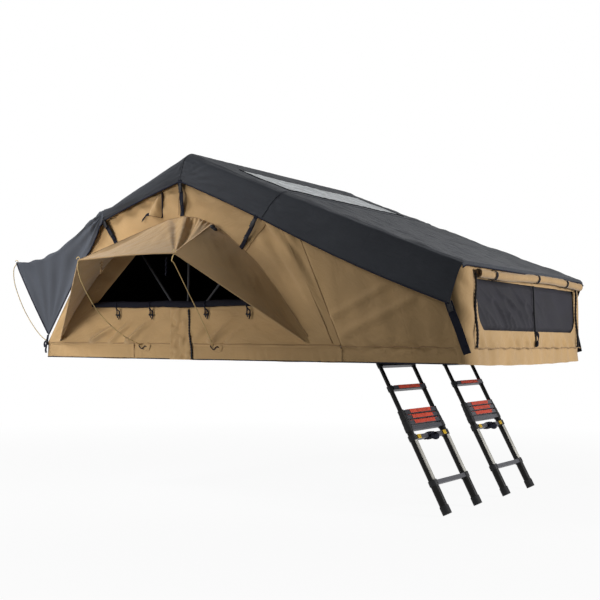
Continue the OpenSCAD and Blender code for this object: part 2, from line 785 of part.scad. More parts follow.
fly_steps = 4;
module rain_fly() {
  hem_h = 24;
  hem_half = fly_half - hem_tuck - fly_t;
  hem_x = fly_top[3][0] - fly_t;
  hem_top = fly_top[3][1] - fly_t - seam / 2;
  color("slategray") from_hinge() {
    sheet([for (i = [0 : 3 * fly_steps]) fly_row(i / fly_steps)], fly_t);
    translate([hem_x, -hem_half, hem_top - hem_h]) cube([fly_t, 2 * hem_half, hem_h]);
  }
}

// Clear panel on the slope between the ridge hoop and the front hoop
module skylight_panel() {
  slope = fly_top[2] - fly_top[1];
  n = left_of(fly_top[1], fly_top[2]);
  mid = lerp(fly_top[1], fly_top[2], 0.5);
  way = unit(slope) * skylight_l / 2;
  low = mid + n * seam;
  color("lightgray") from_hinge() slab([low - way, low + way, low + way + n, low - way + n],
    -skylight_half, skylight_half);
}

// Rear awning: a roof that reaches out from the rear hoop, with a gore at each side
awning_foot_in = 5;
awning_foot_z = 160;
awning_lip = 8;
awning_foot = [-base_l + awning_foot_in, awning_foot_z];
awning_start = fly_top[0] - [3 * seam, 0];
awning_tip = [-awning_reach, awning_tip_z];
awning_run = awning_start[0] - awning_foot[0];
awning_out = awning_foot[0] - awning_tip[0];
function awning_low(t) = let (x = lerp(awning_start[0], awning_tip[0], t))
  x > awning_foot[0]
  ? lerp([awning_start[0], fly_hem[0][1]], awning_foot, (awning_start[0] - x) / awning_run)
  : lerp(awning_foot, awning_tip - [0, awning_lip], (awning_foot[0] - x) / awning_out);
function awning_row(t) = let (sag = awning_sag * sin(180 * t),
  e = lerp(awning_start, awning_tip, t) - [0, sag],
  low = awning_low(t), half = lerp(fly_half, awning_tip_half, t), foot_half = wall_out + seam + cloth_t,
  low_half = lerp(half, foot_half, (e[1] - low[1]) / (awning_start[1] - awning_foot[1])),
  mid = lerp(low, e, 0.5), mid_half = lerp(low_half, half, 0.5), step = fly_share * half)
  [[low[0], -low_half, low[1]], [mid[0], -mid_half, mid[1]], [e[0], -half, e[1]],
   for (k = [-2 : 2]) [e[0], k * step, e[1] - sag * (1 - k * k / 5)],
   [e[0], half, e[1]], [mid[0], mid_half, mid[1]], [low[0], low_half, low[1]]];

module rear_awning() {
  steps = 14;
  color("slategray") from_hinge() sheet([for (i = [steps : -1 : 0]) awning_row(i / steps)], fly_t);
}

module awning_rods() {
  under = fly_t + rod_d / 2 + seam;
  foot = [-base_l - seam - cloth_t - rod_d / 2 + rod_seat, base_half - 10 * rod_d, hem_z - 2 * rod_d];
  tip = [awning_tip[0] + 2 * rod_d, awning_tip_half - 2 * under, awning_tip[1] - 1.5 * under];
  bulge = [-0.75, 0, -0.45] * rod_bow;
  color("darkgoldenrod") from_hinge() both_sides() rod(bowed(foot, tip, bulge, rod_steps), rod_d);
}

// Webbing from the fly's hem to the wall, in line with each hoop, and one down to the entrance's foot
STRAP_LENGTHS = [195, 230, 240];
strap_tuck = 12;
strap_foot_z = 66;
strap_lift = 3.5;
module strap(a, b, side) {
  d = unit(b - a);
  w = unit(cross(d, [0, side, 0])) * strap_w / 2;
  sheet([[a + w, a - w], [b + w, b - w]], strap_t);
}

module straps(side) {
  y_top = side * (fly_half - hem_tuck - fly_t - 2 * seam);
  y_low = side * (wall_out + seam + strap_t);
  for (i = [0 : 2]) {
    low = fly_hem[i] + unit([0, hinge_z] - fly_hem[i]) * STRAP_LENGTHS[i];
    strap([fly_hem[i][0], y_top, fly_hem[i][1] + strap_tuck], [low[0], y_low, low[1]], side);
  }
  rear_s = 1 - 1.5 * strap_w / (entrance_foot_x - base_l);
  foot = entrance_spot(rear_s, strap_foot_z / fly_end_z);
  strap([fly_hem[3][0], y_top, fly_hem[3][1] + strap_tuck],
    [foot[0] + strap_w / 2, side * (foot[1] + strap_t + strap_lift), foot[2]], side);
}

module near_straps() {
  color("midnightblue") from_hinge() straps(NEAR);
}

module far_straps() {
  color("midnightblue") from_hinge() straps(FAR);
}

// Entrance

front_top_x = ENTRANCE[0] + hoop_r + seam;
entrance_top_half = entrance_y + hoop_r + seam;
front_tilt = atan2(entrance_foot_x - front_top_x, ENTRANCE[1]);
front_l = ENTRANCE[1] / cos(front_tilt);

// Side wall: s from the main wall to the front, v from the foot up to the fly. It lies flat down to
// a crease below the entrance hoop's leg, and draws in from there to the foot.
fly_end_z = height_at(beside(fly_line, canopy_out), front_top_x) - seam;
crease_room = 80;
crease_least = 60;
function crease_z(x) = max(crease_least,
  entrance_pin_z + (x - entrance_pin_x) * tan(entrance_angle) - crease_room);
entrance_rows = 8;
function entrance_spot(s, v) = let (band = 1 / entrance_rows, foot = body_out[4] + [2 * seam, 0],
  top = body_out[3] + [2 * seam, -seam],
  rear = v < band ? lerp([base_l + foot_in, 0], foot, v / band) : lerp(foot, top, (v - band) / (1 - band)),
  end = lerp([entrance_foot_x - seam, 0], [front_top_x - seam, fly_end_z], v),
  p = lerp(rear, end, s), flat = min(1, p[1] / crease_z(p[0])),
  half = lerp(lerp(wall_out, entrance_foot_half + cloth_t, s), wall_out, flat))
  [p[0], half, p[1]];

module entrance_wall() {
  ns = 10;
  color("tan") from_hinge() sheet([for (j = [0 : entrance_rows])
    [for (i = [ns : -1 : 0]) entrance_spot(i / ns, j / entrance_rows)]], cloth_t);
}

module entrance_far_wall() { entrance_wall(); }

module entrance_near_wall() { mirror([0, 1, 0]) entrance_wall(); }

// Lays an outline of y and w on the front wall's plane, w up the slope
module on_front(t, out) {
  from_hinge() translate([entrance_foot_x + out, 0, 0]) rotate([0, -front_tilt, 0]) rotate([90, 0, 90])
    linear_extrude(t) children();
}

module mesh_outline(grow) {
  low_half = mesh_half - mesh_corner;
  difference() {
    translate([-mesh_half - grow, mesh_low - grow])
      square([2 * (mesh_half + grow), mesh_top - mesh_low + 2 * grow]);
    for (s = [-1, 1]) {
      difference() {
        translate([s > 0 ? low_half : -mesh_half - grow - cut, mesh_low - grow - cut])
          square([mesh_corner + grow + cut, mesh_corner + grow + cut]);
        translate([s * low_half, mesh_low + mesh_corner]) circle(r = mesh_corner + grow);
      }
    }
  }
}

module entrance_front() {
  color("tan") on_front(cloth_t, 0) difference() {
    polygon([[-entrance_foot_half, 0], [entrance_foot_half, 0], [entrance_top_half, front_l],
      [-entrance_top_half, front_l]]);
    mesh_outline(0);
  }
}

module front_mesh() {
  color("dimgray") on_front(cloth_t / 2, cloth_t / 4) mesh_outline(-seam);
}

module front_cover_roll() {
  roll_gap = 4;
  w = mesh_top + cover_roll_d / 2 + roll_gap;
  color("tan") from_hinge() translate([entrance_foot_x, 0, 0]) rotate([0, -front_tilt, 0])
    translate([cloth_t + seam + cover_roll_d / 2, cover_roll_half, w]) rotate([90, 0, 0])
    cylinder(d = cover_roll_d, h = 2 * cover_roll_half);
}

// Ladders, hanging down from their pins before they lean

// Distance of each rung below the pins, from the lowest to the topmost
stack_3 = rung_6 + 3 * rung_stack;
rung_2 = stack_3 + rung_2_step;
rung_1 = rung_2 + rung_1_step;
RUNGS = [0, rung_1, rung_2, stack_3, stack_3 - rung_stack, stack_3 - 2 * rung_stack, rung_6, rung_7, rung_8];
TREADS = [0, 0, 0, 0, 1, 1, 1, 1, 0];
function tube_r(k) = tube_d / 2 + (8 - k) * (tube_wall + tube_play);
function collar_r(k) = tube_r(k) + collar_proud;
function tube_end(k) =
  k == 1 ? rung_1 + sole_step - foot_sole - seam : RUNGS[k] + (k == 2 ? tube_2_l : tube_l);
head_room = 24;

module on_ladder(side) {
  from_hinge() translate([ladder_pin_x, side * ladder_y, ladder_pin_z]) rotate([0, -ladder_lean, 0])
    children();
}

module ladder_rail(k) {
  top = k == 8 ? -head_room : RUNGS[k] - collar_h / 2;
  difference() {
    union() {
      translate([0, 0, -tube_end(k)]) cylinder(r = tube_r(k), h = tube_end(k) - top);
      translate([0, 0, -RUNGS[k] - collar_h / 2]) cylinder(r = collar_r(k), h = collar_h);
    }
    translate([0, 0, -tube_end(k) - cut])
      cylinder(r = tube_r(k) - tube_wall, h = tube_end(k) - top + 2 * cut);
    if (k == 8) rotate([90, 0, 0])
      cylinder(r = ladder_pin_d / 2 + pivot_play, h = 4 * tube_d, center = true);
  }
}

module rung(k) {
  l = ladder_w - 2 * tube_r(k);
  inside = ladder_w / 2 - collar_r(k);
  slot_l = latch_l / 2;
  tread_in = 2;
  translate([0, 0, -RUNGS[k]]) difference() {
    cube([rung_depth, l, rung_h], center = true);
    cube([rung_depth - 2 * rung_wall, l + 2 * cut, rung_h - 2 * rung_wall], center = true);
    for (s = [-1, 1]) {
      translate([0, s * ladder_w / 2, 0]) cylinder(r = collar_r(k) + seam, h = 2 * rung_h, center = true);
      if (k == 2) translate([rung_depth / 2, s * (inside - latch_l / 2 - latch_travel / 2), 0])
        cube([4 * rung_wall, slot_l + latch_travel, rung_h / 3], center = true);
    }
  }
  if (TREADS[k] == 1) color("crimson") translate([0, 0, -RUNGS[k] + rung_h / 2 + tread_h / 2])
    cube([rung_depth - tread_in, 2 * inside - latch_l, tread_h], center = true);
}

module ladder_foot() {
  r = tube_r(1);
  color("black") translate([0, 0, -rung_1 - sole_step]) difference() {
    cylinder(r = r + foot_wall, h = foot_h);
    translate([0, 0, foot_sole]) cylinder(r = r + pivot_play, h = foot_h);
  }
}

module ladder_step(side, k) {
  color("dimgray") on_ladder(side) {
    for (s = [-1, 1]) translate([0, s * ladder_w / 2, 0]) {
      ladder_rail(k);
      if (k == 1) ladder_foot();
    }
    rung(k);
  }
}

// Thumb latch on the front of the second rung, with its tongue in the rung's slot
module latch(side, s) {
  inside = ladder_w / 2 - collar_r(2);
  tongue_play = 0.4;
  y = s * (inside - latch_l / 2);
  grip = 5;
  grip_depth = 2;
  grip_end = 6;
  color("gold") on_ladder(side) translate([rung_depth / 2 + seam, y, -rung_2]) {
    difference() {
      translate([0, -latch_l / 2 + seam, -latch_h / 2]) cube([latch_t, latch_l - 2 * seam, latch_h]);
      for (g = [-1 : 1]) translate([latch_t, g * grip * 2, 0])
        cube([grip_depth, grip, latch_h - grip_end], center = true);
    }
    translate([-2 * rung_wall, tongue_play - latch_l / 4, tongue_play - rung_h / 6])
      cube([2 * rung_wall + cut, latch_l / 2 - 2 * tongue_play, rung_h / 3 - 2 * tongue_play]);
  }
}

fixed_base_panel();
fixed_edge_frame();
rack_rails();
fixed_hinge_ears();
pivot_bolts();
fixed_mattress();
fixed_skirt();
foldout_base_panel();
foldout_edge_frame();
foldout_hinge_ears();
foldout_mattress();
foldout_skirt();
ladder_brackets();
entrance_hoop_brackets();
rear_hoop();
ridge_hoop();
front_hoop();
entrance_hoop();
near_wall();
far_wall();
rear_wall();
roof_canopy();
door_wall();
hinge_gussets();
vent_flap();
far_window_flap();
window_screen_roll();
window_hood();
hood_rods();
rain_fly();
skylight_panel();
rear_awning();
awning_rods();
near_straps();
far_straps();
entrance_near_wall();
entrance_far_wall();
entrance_front();
front_mesh();
front_cover_roll();
ladder_step(NEAR, 8);  // near_ladder_top
ladder_step(NEAR, 7);  // near_ladder_step_7
ladder_step(NEAR, 6);  // near_ladder_step_6
ladder_step(NEAR, 5);  // near_ladder_step_5
ladder_step(NEAR, 4);  // near_ladder_step_4
ladder_step(NEAR, 3);  // near_ladder_step_3
ladder_step(NEAR, 2);  // near_ladder_step_2
ladder_step(NEAR, 1);  // near_ladder_step_1
ladder_step(FAR, 8);  // far_ladder_top
ladder_step(FAR, 7);  // far_ladder_step_7
ladder_step(FAR, 6);  // far_ladder_step_6
ladder_step(FAR, 5);  // far_ladder_step_5
ladder_step(FAR, 4);  // far_ladder_step_4
ladder_step(FAR, 3);  // far_ladder_step_3
ladder_step(FAR, 2);  // far_ladder_step_2
ladder_step(FAR, 1);  // far_ladder_step_1
latch(NEAR, -1);  // near_latch_left
latch(NEAR, 1);  // near_latch_right
latch(FAR, -1);  // far_latch_left
latch(FAR, 1);  // far_latch_right
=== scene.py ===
"""Looks of an open fold-out roof top tent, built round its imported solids."""

import logging
from dataclasses import dataclass
from enum import Enum
from math import cos, pi, radians, sin
from typing import Any, Optional, Sequence

import bpy
import numpy as np
from mathutils import Matrix, Vector


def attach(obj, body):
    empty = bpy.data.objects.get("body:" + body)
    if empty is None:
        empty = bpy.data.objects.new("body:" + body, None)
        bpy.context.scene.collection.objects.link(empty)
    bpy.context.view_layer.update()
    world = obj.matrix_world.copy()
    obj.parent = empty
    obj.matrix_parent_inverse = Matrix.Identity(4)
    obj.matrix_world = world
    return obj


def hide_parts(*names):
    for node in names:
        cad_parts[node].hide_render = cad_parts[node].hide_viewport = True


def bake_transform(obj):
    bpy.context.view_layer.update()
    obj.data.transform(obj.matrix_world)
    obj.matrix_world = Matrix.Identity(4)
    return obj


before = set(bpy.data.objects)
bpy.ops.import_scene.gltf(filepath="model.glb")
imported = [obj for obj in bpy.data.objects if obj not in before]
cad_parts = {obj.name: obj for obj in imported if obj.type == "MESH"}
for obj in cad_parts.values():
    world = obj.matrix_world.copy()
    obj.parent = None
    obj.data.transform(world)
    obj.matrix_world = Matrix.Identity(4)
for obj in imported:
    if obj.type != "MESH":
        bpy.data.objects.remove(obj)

LOG = logging.getLogger("roof_tent")
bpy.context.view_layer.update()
HINGE = np.array([0.6, 0.0, 0.19])
PIN = np.array([1.815, 0.0, 0.165])
SHARP_ANGLE = 0.6
Grid = np.ndarray
Line = Sequence[Sequence[float]]
Pair = tuple[float, float]
Inputs = dict[Any, Any]


class Side(Enum):
    """The two long sides of the tent, by the sign of y."""

    NEAR = -1.0
    FAR = 1.0

    @property
    def word(self) -> str:
        """The side's word in the names of pieces."""
        return self.name.lower()


class Fold(Enum):
    """How a piece of cloth follows the tent when it is packed away."""

    FAN = "fan"
    PORCH = "porch"
    FIXED = "fixed_base"
    FOLDOUT = "foldout_base"


# Shaders

PATCHES = ((0.3, 0.0), (0.7, 1.0))


class Value:
    """A shader socket that takes part in Python sums."""

    def __init__(self, graph: "Graph", socket: Any) -> None:
        """Keeps the socket and the graph that it is in."""
        self.graph, self.socket = graph, socket

    def _sum(self, operation: str, a: Any, b: Any) -> "Value":
        """One Math node for an operator."""
        return self.graph.node("Math", {0: a, 1: b}, operation=operation)

    def __add__(self, other: Any) -> "Value":
        """self + other."""
        return self._sum("ADD", self, other)

    __radd__ = __add__

    def __sub__(self, other: Any) -> "Value":
        """self - other."""
        return self._sum("SUBTRACT", self, other)

    def __rsub__(self, other: Any) -> "Value":
        """other - self."""
        return self._sum("SUBTRACT", other, self)

    def __mul__(self, other: Any) -> "Value":
        """self * other."""
        return self._sum("MULTIPLY", self, other)

    __rmul__ = __mul__

    def __gt__(self, other: Any) -> "Value":
        """1 where self is above other."""
        return self._sum("GREATER_THAN", self, other)

    def wave(self) -> "Value":
        """Sine of the value."""
        return self._sum("SINE", self, 0.0)

    def top(self, other: Any) -> "Value":
        """The larger of two values."""
        return self._sum("MAXIMUM", self, other)


class Graph:
    """The node tree of one material or of the world."""

    def __init__(self, tree: Any) -> None:
        """Empties the tree."""
        self.tree = tree
        tree.nodes.clear()

    def node(self, kind: str, values: Inputs, out: Any = 0, **settings: Any) -> Value:
        """Adds one shader node.

        Args:
            kind: the node's type, without its prefix.
            values: what each input takes, a number, a tuple or a Value.
            out: name or number of the output that is wanted.
            settings: the node's attributes; "stops" is a ramp's list of (place, grey).

        Returns:
            That output, empty for a node that has none.
        """
        node = self.tree.nodes.new(f"ShaderNode{kind}")
        for key, setting in settings.items():
            if key == "stops":
                ramp = node.color_ramp
                while len(ramp.elements) < len(setting):
                    ramp.elements.new(0.5)
                for element, (place, grey) in zip(ramp.elements, setting):
                    element.position, element.color = place, (grey, grey, grey, 1)
            else:
                setattr(node, key, setting)
        for key, given in values.items():
            if isinstance(given, Value):
                self.tree.links.new(given.socket, node.inputs[key])
            else:
                node.inputs[key].default_value = given
        return Value(self, node.outputs[out] if node.outputs else None)

    def place(self, kind: str) -> Value:
        """A texture coordinate: UV, in metres on cloth, or Object."""
        return self.node("TexCoord", {}, kind)

    def noise(self, at: Value, scale: float, detail: float, distort: float = 0.0) -> Value:
        """Noise from 0 to 1 at a coordinate."""
        inputs = {"Vector": at, "Scale": scale, "Detail": detail, "Distortion": distort}
        return self.node("TexNoise", inputs, "Fac")

    def stretched(self, at: Value, by: tuple[float, float, float]) -> Value:
        """A coordinate times a vector."""
        return self.node("VectorMath", {0: at, 1: by}, operation="MULTIPLY")

    def ramp(self, value: Value, *stops: Pair) -> Value:
        """A value through a ramp of greys."""
        return self.node("ValToRGB", {"Fac": value}, "Color", stops=stops)

    def mix(self, a: Any, b: Any, share: Any) -> Value:
        """Colour a to colour b by share."""
        return self.node("Mix", {0: share, 6: a, 7: b}, 2, data_type="RGBA")

    def parts(self, at: Value) -> tuple[Value, ...]:
        """The three numbers of a vector."""
        first = self.node("SeparateXYZ", {0: at})
        return tuple(Value(self, socket) for socket in first.socket.node.outputs)

    def bump(self, height: Value, strength: float, distance: float) -> Value:
        """A normal from a height."""
        inputs = {"Height": height, "Strength": strength, "Distance": distance}
        return self.node("Bump", inputs)


def dimmed(tint: Sequence[float], by: float) -> tuple[float, float, float, float]:
    """A colour times a number, with full alpha."""
    return (tint[0] * by, tint[1] * by, tint[2] * by, 1.0)


@dataclass(frozen=True)
class Finish:
    """A finish: a name, a tint and how rough it is. Each kind writes its own nodes."""

    name: str
    tint: tuple[float, float, float]
    rough: float = 0.8

    def material(self) -> Any:
        """The material, made once."""
        found = bpy.data.materials.get(self.name)
        if found:
            return found
        made = bpy.data.materials.new(self.name)
        made.use_nodes = True
        graph = Graph(made.node_tree)
        shader = graph.node("BsdfPrincipled", self.surface(graph))
        graph.node("OutputMaterial", {"Surface": shader})
        return made

    def surface(self, graph: Graph) -> Inputs:
        """Writes the finish's own nodes.

        Args:
            graph: the material's nodes.

        Returns:
            Inputs of the Principled shader.
        """
        return {"Base Color": dimmed(self.tint, 1.0), "Roughness": self.rough}

    def tone(self, graph: Graph, dark: float, light: float, share: Any) -> Value:
        """The tint from a darker tone to a lighter one, by share."""
        return graph.mix(dimmed(self.tint, dark), dimmed(self.tint, light), share)


@dataclass(frozen=True)
class Woven(Finish):
    """Plain woven cloth with thread, slubs, soft crumple and handling marks."""

    pitch: float = 0.0024
    thread: float = 0.35
    crumple: float = 0.5
    grid: float = 0.0
    sheen: float = 0.15
    gloss: float = 0.25
    drawn: float = 0.0

    def surface(self, graph: Graph) -> Inputs:
        """Inputs of the Principled shader; see Finish."""
        at = graph.place("UV")
        u, v, _ = graph.parts(at)
        turn = 2 * pi / self.pitch
        warp, weft = (u * turn).wave(), (v * turn).wave()
        threads = warp * weft
        slub = graph.noise(graph.stretched(at, (90.0, 700.0, 1.0)), 1.0, 2.0)
        worn = graph.noise(at, 3.1, 5.0, 0.4)
        soft = graph.noise(at, 16.0, 4.0, 0.6)
        shade = self.tone(graph, 0.86, 1.1, graph.ramp(worn, *PATCHES))
        shade = graph.mix(shade, dimmed(self.tint, 0.72), slub * 0.28)
        folds = graph.noise(at, 6.5, 3.0, 1.4) - 0.5
        ridge = 1 - folds.top(0 - folds) * 4
        height = threads * (self.thread * 0.25) + soft * self.crumple + ridge * (self.crumple * 0.8)
        if self.drawn:
            height += graph.noise(graph.stretched(at, (34.0, 5.0, 1.0)), 1.0, 5.0, 0.8) * self.drawn
        if self.grid:
            check = 2 * pi / self.grid
            lines = ((u * check).wave().top((v * check).wave()) > 0.985) * 1.0
            shade = graph.mix(shade, dimmed(self.tint, 1.35), lines * 0.35)
            height += lines * 0.12
        return {
            "Base Color": shade,
            "Roughness": worn * 0.12 + (self.rough - 0.06),
            "Sheen Weight": self.sheen,
            "Sheen Roughness": 0.5,
            "Specular IOR Level": self.gloss,
            "Normal": graph.bump(height, 0.35, 0.004),
        }


@dataclass(frozen=True)
class Netting(Finish):
    """Fine insect netting, its holes darkened as painted shade of the dim inside behind it."""

    pitch: float = 0.003

    def surface(self, graph: Graph) -> Inputs:
        """Inputs of the Principled shader; see Finish."""
        at = graph.place("UV")
        u, v, _ = graph.parts(at)
        turn = 2 * pi / self.pitch
        holes = (u * turn).wave() * (v * turn).wave()
        haze = graph.noise(graph.stretched(at, (5.0, 2.0, 1.0)), 1.0, 4.0, 1.2)
        shade = self.tone(graph, 0.55, 1.35, graph.ramp(haze, (0.3, 0.0), (0.75, 1.0)))
        # Painted shade: the holes are darkened for the shaded inside seen through the net
        shade = graph.mix(shade, dimmed(self.tint, 0.3), (holes > 0.35) * 0.5)
        return {
            "Base Color": shade,
            "Roughness": haze * 0.2 + (self.rough - 0.1),
            "Specular IOR Level": 0.3,
            "Normal": graph.bump(holes, 0.2, 0.001),
        }


@dataclass(frozen=True)
class Film(Finish):
    """Clear roof film over cloth: crinkled and cloudy, its pale mottled colour a painted soft reflection."""

    def surface(self, graph: Graph) -> Inputs:
        """Inputs of the Principled shader; see Finish."""
        at = graph.place("UV")
        crinkle = graph.noise(graph.stretched(at, (26.0, 9.0, 1.0)), 1.0, 7.0, 1.6)
        cloud = graph.noise(at, 5.0, 4.0, 0.8)
        # Lighter crinkles: painted glints of reflection
        painted_glint = graph.ramp(crinkle, (0.38, 0.0), (0.62, 1.0))
        shade = self.tone(graph, 0.45, 1.2, painted_glint)
        shade = graph.mix(shade, dimmed(self.tint, 0.5), graph.ramp(cloud, (0.45, 0.0), (0.75, 0.7)))
        return {
            "Base Color": shade,
            "Roughness": crinkle * 0.3 + (self.rough - 0.1),
            "Coat Weight": 0.15,
            "Coat Roughness": 0.3,
            "Normal": graph.bump(crinkle + cloud, 0.5, 0.006),
        }


@dataclass(frozen=True)
class Webbing(Finish):
    """Woven strap: ribs across it and a bound edge."""

    rib: float = 0.004

    def surface(self, graph: Graph) -> Inputs:
        """Inputs of the Principled shader; see Finish."""
        at = graph.place("UV")
        u, v, _ = graph.parts(at)
        ribs = (v * (2 * pi / self.rib)).wave()
        cross = (u * (2 * pi / (self.rib * 1.6))).wave()
        fuzz = graph.noise(at, 240.0, 3.0)
        shade = self.tone(graph, 0.7, 1.5, fuzz)
        return {
            "Base Color": shade,
            "Roughness": fuzz * 0.2 + (self.rough - 0.1),
            "Specular IOR Level": 0.15,
            "Normal": graph.bump(ribs + cross * 0.4, 0.4, 0.001),
        }


@dataclass(frozen=True)
class Metal(Finish):
    """Drawn or painted metal: long draw marks, smudges, a rubbed tone."""

    metallic: float = 1.0
    coat: float = 0.0
    marks: float = 0.2
    gloss: float = 0.5
    along: tuple[float, float, float] = (6.0, 6.0, 6.0)

    def surface(self, graph: Graph) -> Inputs:
        """Inputs of the Principled shader; see Finish."""
        at = graph.place("Object")
        drawn = graph.noise(graph.stretched(at, self.along), 12.0, 6.0)
        smudge = graph.noise(at, 7.0, 5.0, 0.7)
        shade = self.tone(graph, 0.75, 1.25, graph.ramp(smudge, *PATCHES))
        return {
            "Base Color": shade,
            "Metallic": self.metallic,
            "Specular IOR Level": self.gloss,
            "Roughness": drawn * self.marks + smudge * 0.1 + (self.rough - self.marks * 0.5),
            "Coat Weight": self.coat,
            "Coat Roughness": 0.08,
            "Normal": graph.bump(drawn, 0.08, 0.001),
        }


@dataclass(frozen=True)
class Moulded(Finish):
    """Moulded plastic or rubber: fine grain and paler rubbed patches."""

    grain: float = 0.25

    def surface(self, graph: Graph) -> Inputs:
        """Inputs of the Principled shader; see Finish."""
        at = graph.place("Object")
        spark = graph.noise(at, 900.0, 2.0)
        rubbed = graph.noise(at, 22.0, 5.0, 0.5)
        shade = self.tone(graph, 0.8, 1.25, graph.ramp(rubbed, (0.35, 0.0), (0.7, 1.0)))
        return {
            "Base Color": shade,
            "Roughness": rubbed * 0.2 + (self.rough - 0.1),
            "Specular IOR Level": 0.2,
            "Normal": graph.bump(spark, self.grain, 0.0006),
        }


RIPSTOP = 0.011
FINE: dict[str, float] = {"pitch": 0.0016, "thread": 0.2, "sheen": 0.0}
CANVAS = Woven("canvas_khaki", (0.45, 0.288, 0.131), 0.82, crumple=1.8, sheen=0.25)
# A darker copy of the canvas for the rolled cover and the hood's hem: painted shade
CANVAS_PAINTED_SHADE = Woven("canvas_rolled_painted_shade", (0.42, 0.268, 0.122), 0.82, crumple=2.0, sheen=0.25)
# Near-black inner faces of the walls, canopy, skirts and mesh: painted shade for the dim inside of the tent
INSIDE_PAINTED_SHADE = Woven("inside_painted_shade", (0.006, 0.006, 0.007), 0.9, sheen=0.0)
FLY = Woven(
    "fly_slate", (0.054, 0.058, 0.067), 0.55, crumple=1.2, drawn=6.0, grid=RIPSTOP, gloss=0.045, **FINE
)
# The fly's cloth with a lighter tint: painted light showing through the thin awning
AWNING = Woven("awning_slate_painted_light", (0.070, 0.076, 0.090), 0.72, crumple=0.4, grid=RIPSTOP, gloss=0.1, **FINE)
FLY_UNDER = Woven("fly_under", (0.016, 0.017, 0.020), 0.7, gloss=0.1, **FINE)
BINDING = Webbing("binding_navy", (0.008, 0.009, 0.018), 0.75)
STRAP = Webbing("strap_navy", (0.006, 0.007, 0.014), 0.8)
SCREEN = Woven("screen_navy", (0.009, 0.009, 0.014), 0.85, crumple=0.8, sheen=0.0, gloss=0.1)
NET = Netting("insect_net", (0.017, 0.016, 0.022), 0.85)
# Pale tint: painted reflection of the white surroundings on the clear film
FILM_PAINTED_REFLECTION = Film("roof_film_painted_reflection", (0.62, 0.65, 0.67), 0.5)
MATTRESS = Woven("mattress_weave", (0.03, 0.032, 0.038), 0.9, pitch=0.004)
ROD = Metal("sprung_rod", (0.42, 0.30, 0.12), 0.42, metallic=0.3)
HOOP = Metal("hoop_grey", (0.022, 0.022, 0.025), 0.5, metallic=0.2, gloss=0.2)
ALUMINIUM = Metal("aluminium_drawn", (0.36, 0.37, 0.385), 0.38, along=(1.0, 30.0, 1.0))
STEEL = Metal("bracket_black", (0.03, 0.03, 0.032), 0.5, metallic=0.3)
BOLT = Metal("bolt_zinc", (0.6, 0.6, 0.58), 0.32)
TUBE = Metal("ladder_black", (0.007, 0.0065, 0.006), 0.28, metallic=0.0, marks=0.12, gloss=0.14)
# A pale copy of the black tube finish: a painted reflection on the tubes' side that faces the light
TUBE_PAINTED_REFLECTION = Metal("ladder_painted_reflection", (0.33, 0.32, 0.29), 0.45, metallic=0.25, marks=0.3, gloss=0.2)
COLLAR = Moulded("collar_black", (0.012, 0.012, 0.013), 0.42)
RUNG = Metal("rung_charcoal", (0.045, 0.045, 0.055), 0.42, metallic=0.35)
TREAD = Moulded("tread_red", (0.50, 0.062, 0.034), 0.6, grain=0.6)
RUBBER = Moulded("foot_rubber", (0.016, 0.016, 0.017), 0.65, grain=0.6)
LATCH = Moulded("latch_yellow", (0.62, 0.40, 0.02), 0.45)
PLASTIC = Moulded("buckle_black", (0.008, 0.008, 0.010), 0.55)
ZIP = Moulded("zip_black", (0.010, 0.010, 0.013), 0.6, grain=0.6)
STITCH = Woven("stitch_tan", (0.33, 0.205, 0.095), 0.85, pitch=0.001)


# Shapes


def lerp(a: Any, b: Any, t: Any) -> Any:
    """From a to b by t."""
    return a + (b - a) * t


def ease(t: Any) -> Any:
    """A smooth step from 0 to 1."""
    t = np.clip(t, 0.0, 1.0)
    return t * t * (3 - 2 * t)


def unit(count: int) -> Grid:
    """Even steps from 0 to 1."""
    return np.linspace(0, 1, count)


def between(t: Any, low: float, high: float, soft: float) -> Any:
    """1 between two places and 0 outside them, with soft ends."""
    return ease((t - low) / soft) * ease((high - t) / soft)


def bell(t: Any, middle: Any, width: float) -> Any:
    """A soft hump, 1 at its middle."""
    return np.exp(-(((t - middle) / width) ** 2))


def lattice(first: Grid, second: Grid) -> tuple[Grid, Grid]:
    """Two coordinates over a grid, the first one by row."""
    rows, columns = np.meshgrid(first, second, indexing="ij")
    return rows, columns


def lengths(points: Grid) -> Grid:
    """How far each point is along a polyline."""
    return np.r_[0.0, np.cumsum(np.linalg.norm(np.diff(points, axis=0), axis=1))]


def aimed(vectors: Grid) -> Grid:
    """Vectors brought to a length of 1."""
    return vectors / np.maximum(np.linalg.norm(vectors, axis=-1, keepdims=True), 1e-9)


def flat_run(grid: Grid, axis: int) -> Grid:
    """How far each row or column of a sheet is from its first one, laid flat."""
    gaps = np.linalg.norm(np.diff(grid, axis=axis), axis=2).mean(axis=1 - axis)
    return np.r_[0.0, np.cumsum(gaps)]


def spaced(line: Line, count: int) -> Grid:
    """Points at even distances along a polyline.

    Args:
        line: the corners.
        count: how many points.

    Returns:
        The points.
    """
    points = np.array(line, float)
    run = lengths(points)
    at = np.linspace(0.0, run[-1], count)
    return np.stack([np.interp(at, run, points[:, k]) for k in range(points.shape[1])], axis=1)


def rounded(line: Line, radius: float) -> Grid:
    """A polyline with its inner corners turned into short curves.

    Args:
        line: the corners.
        radius: how far from a corner its curve starts.

    Returns:
        The points.
    """
    points = [np.array(p, float) for p in line]
    made = [points[0]]
    for before, corner, after in zip(points, points[1:], points[2:]):
        a, b = (corner + aimed(end - corner) * radius for end in (before, after))
        for t in unit(7):
            made.append(lerp(lerp(a, corner, t), lerp(corner, b, t), t))
    made.append(points[-1])
    return np.array(made)


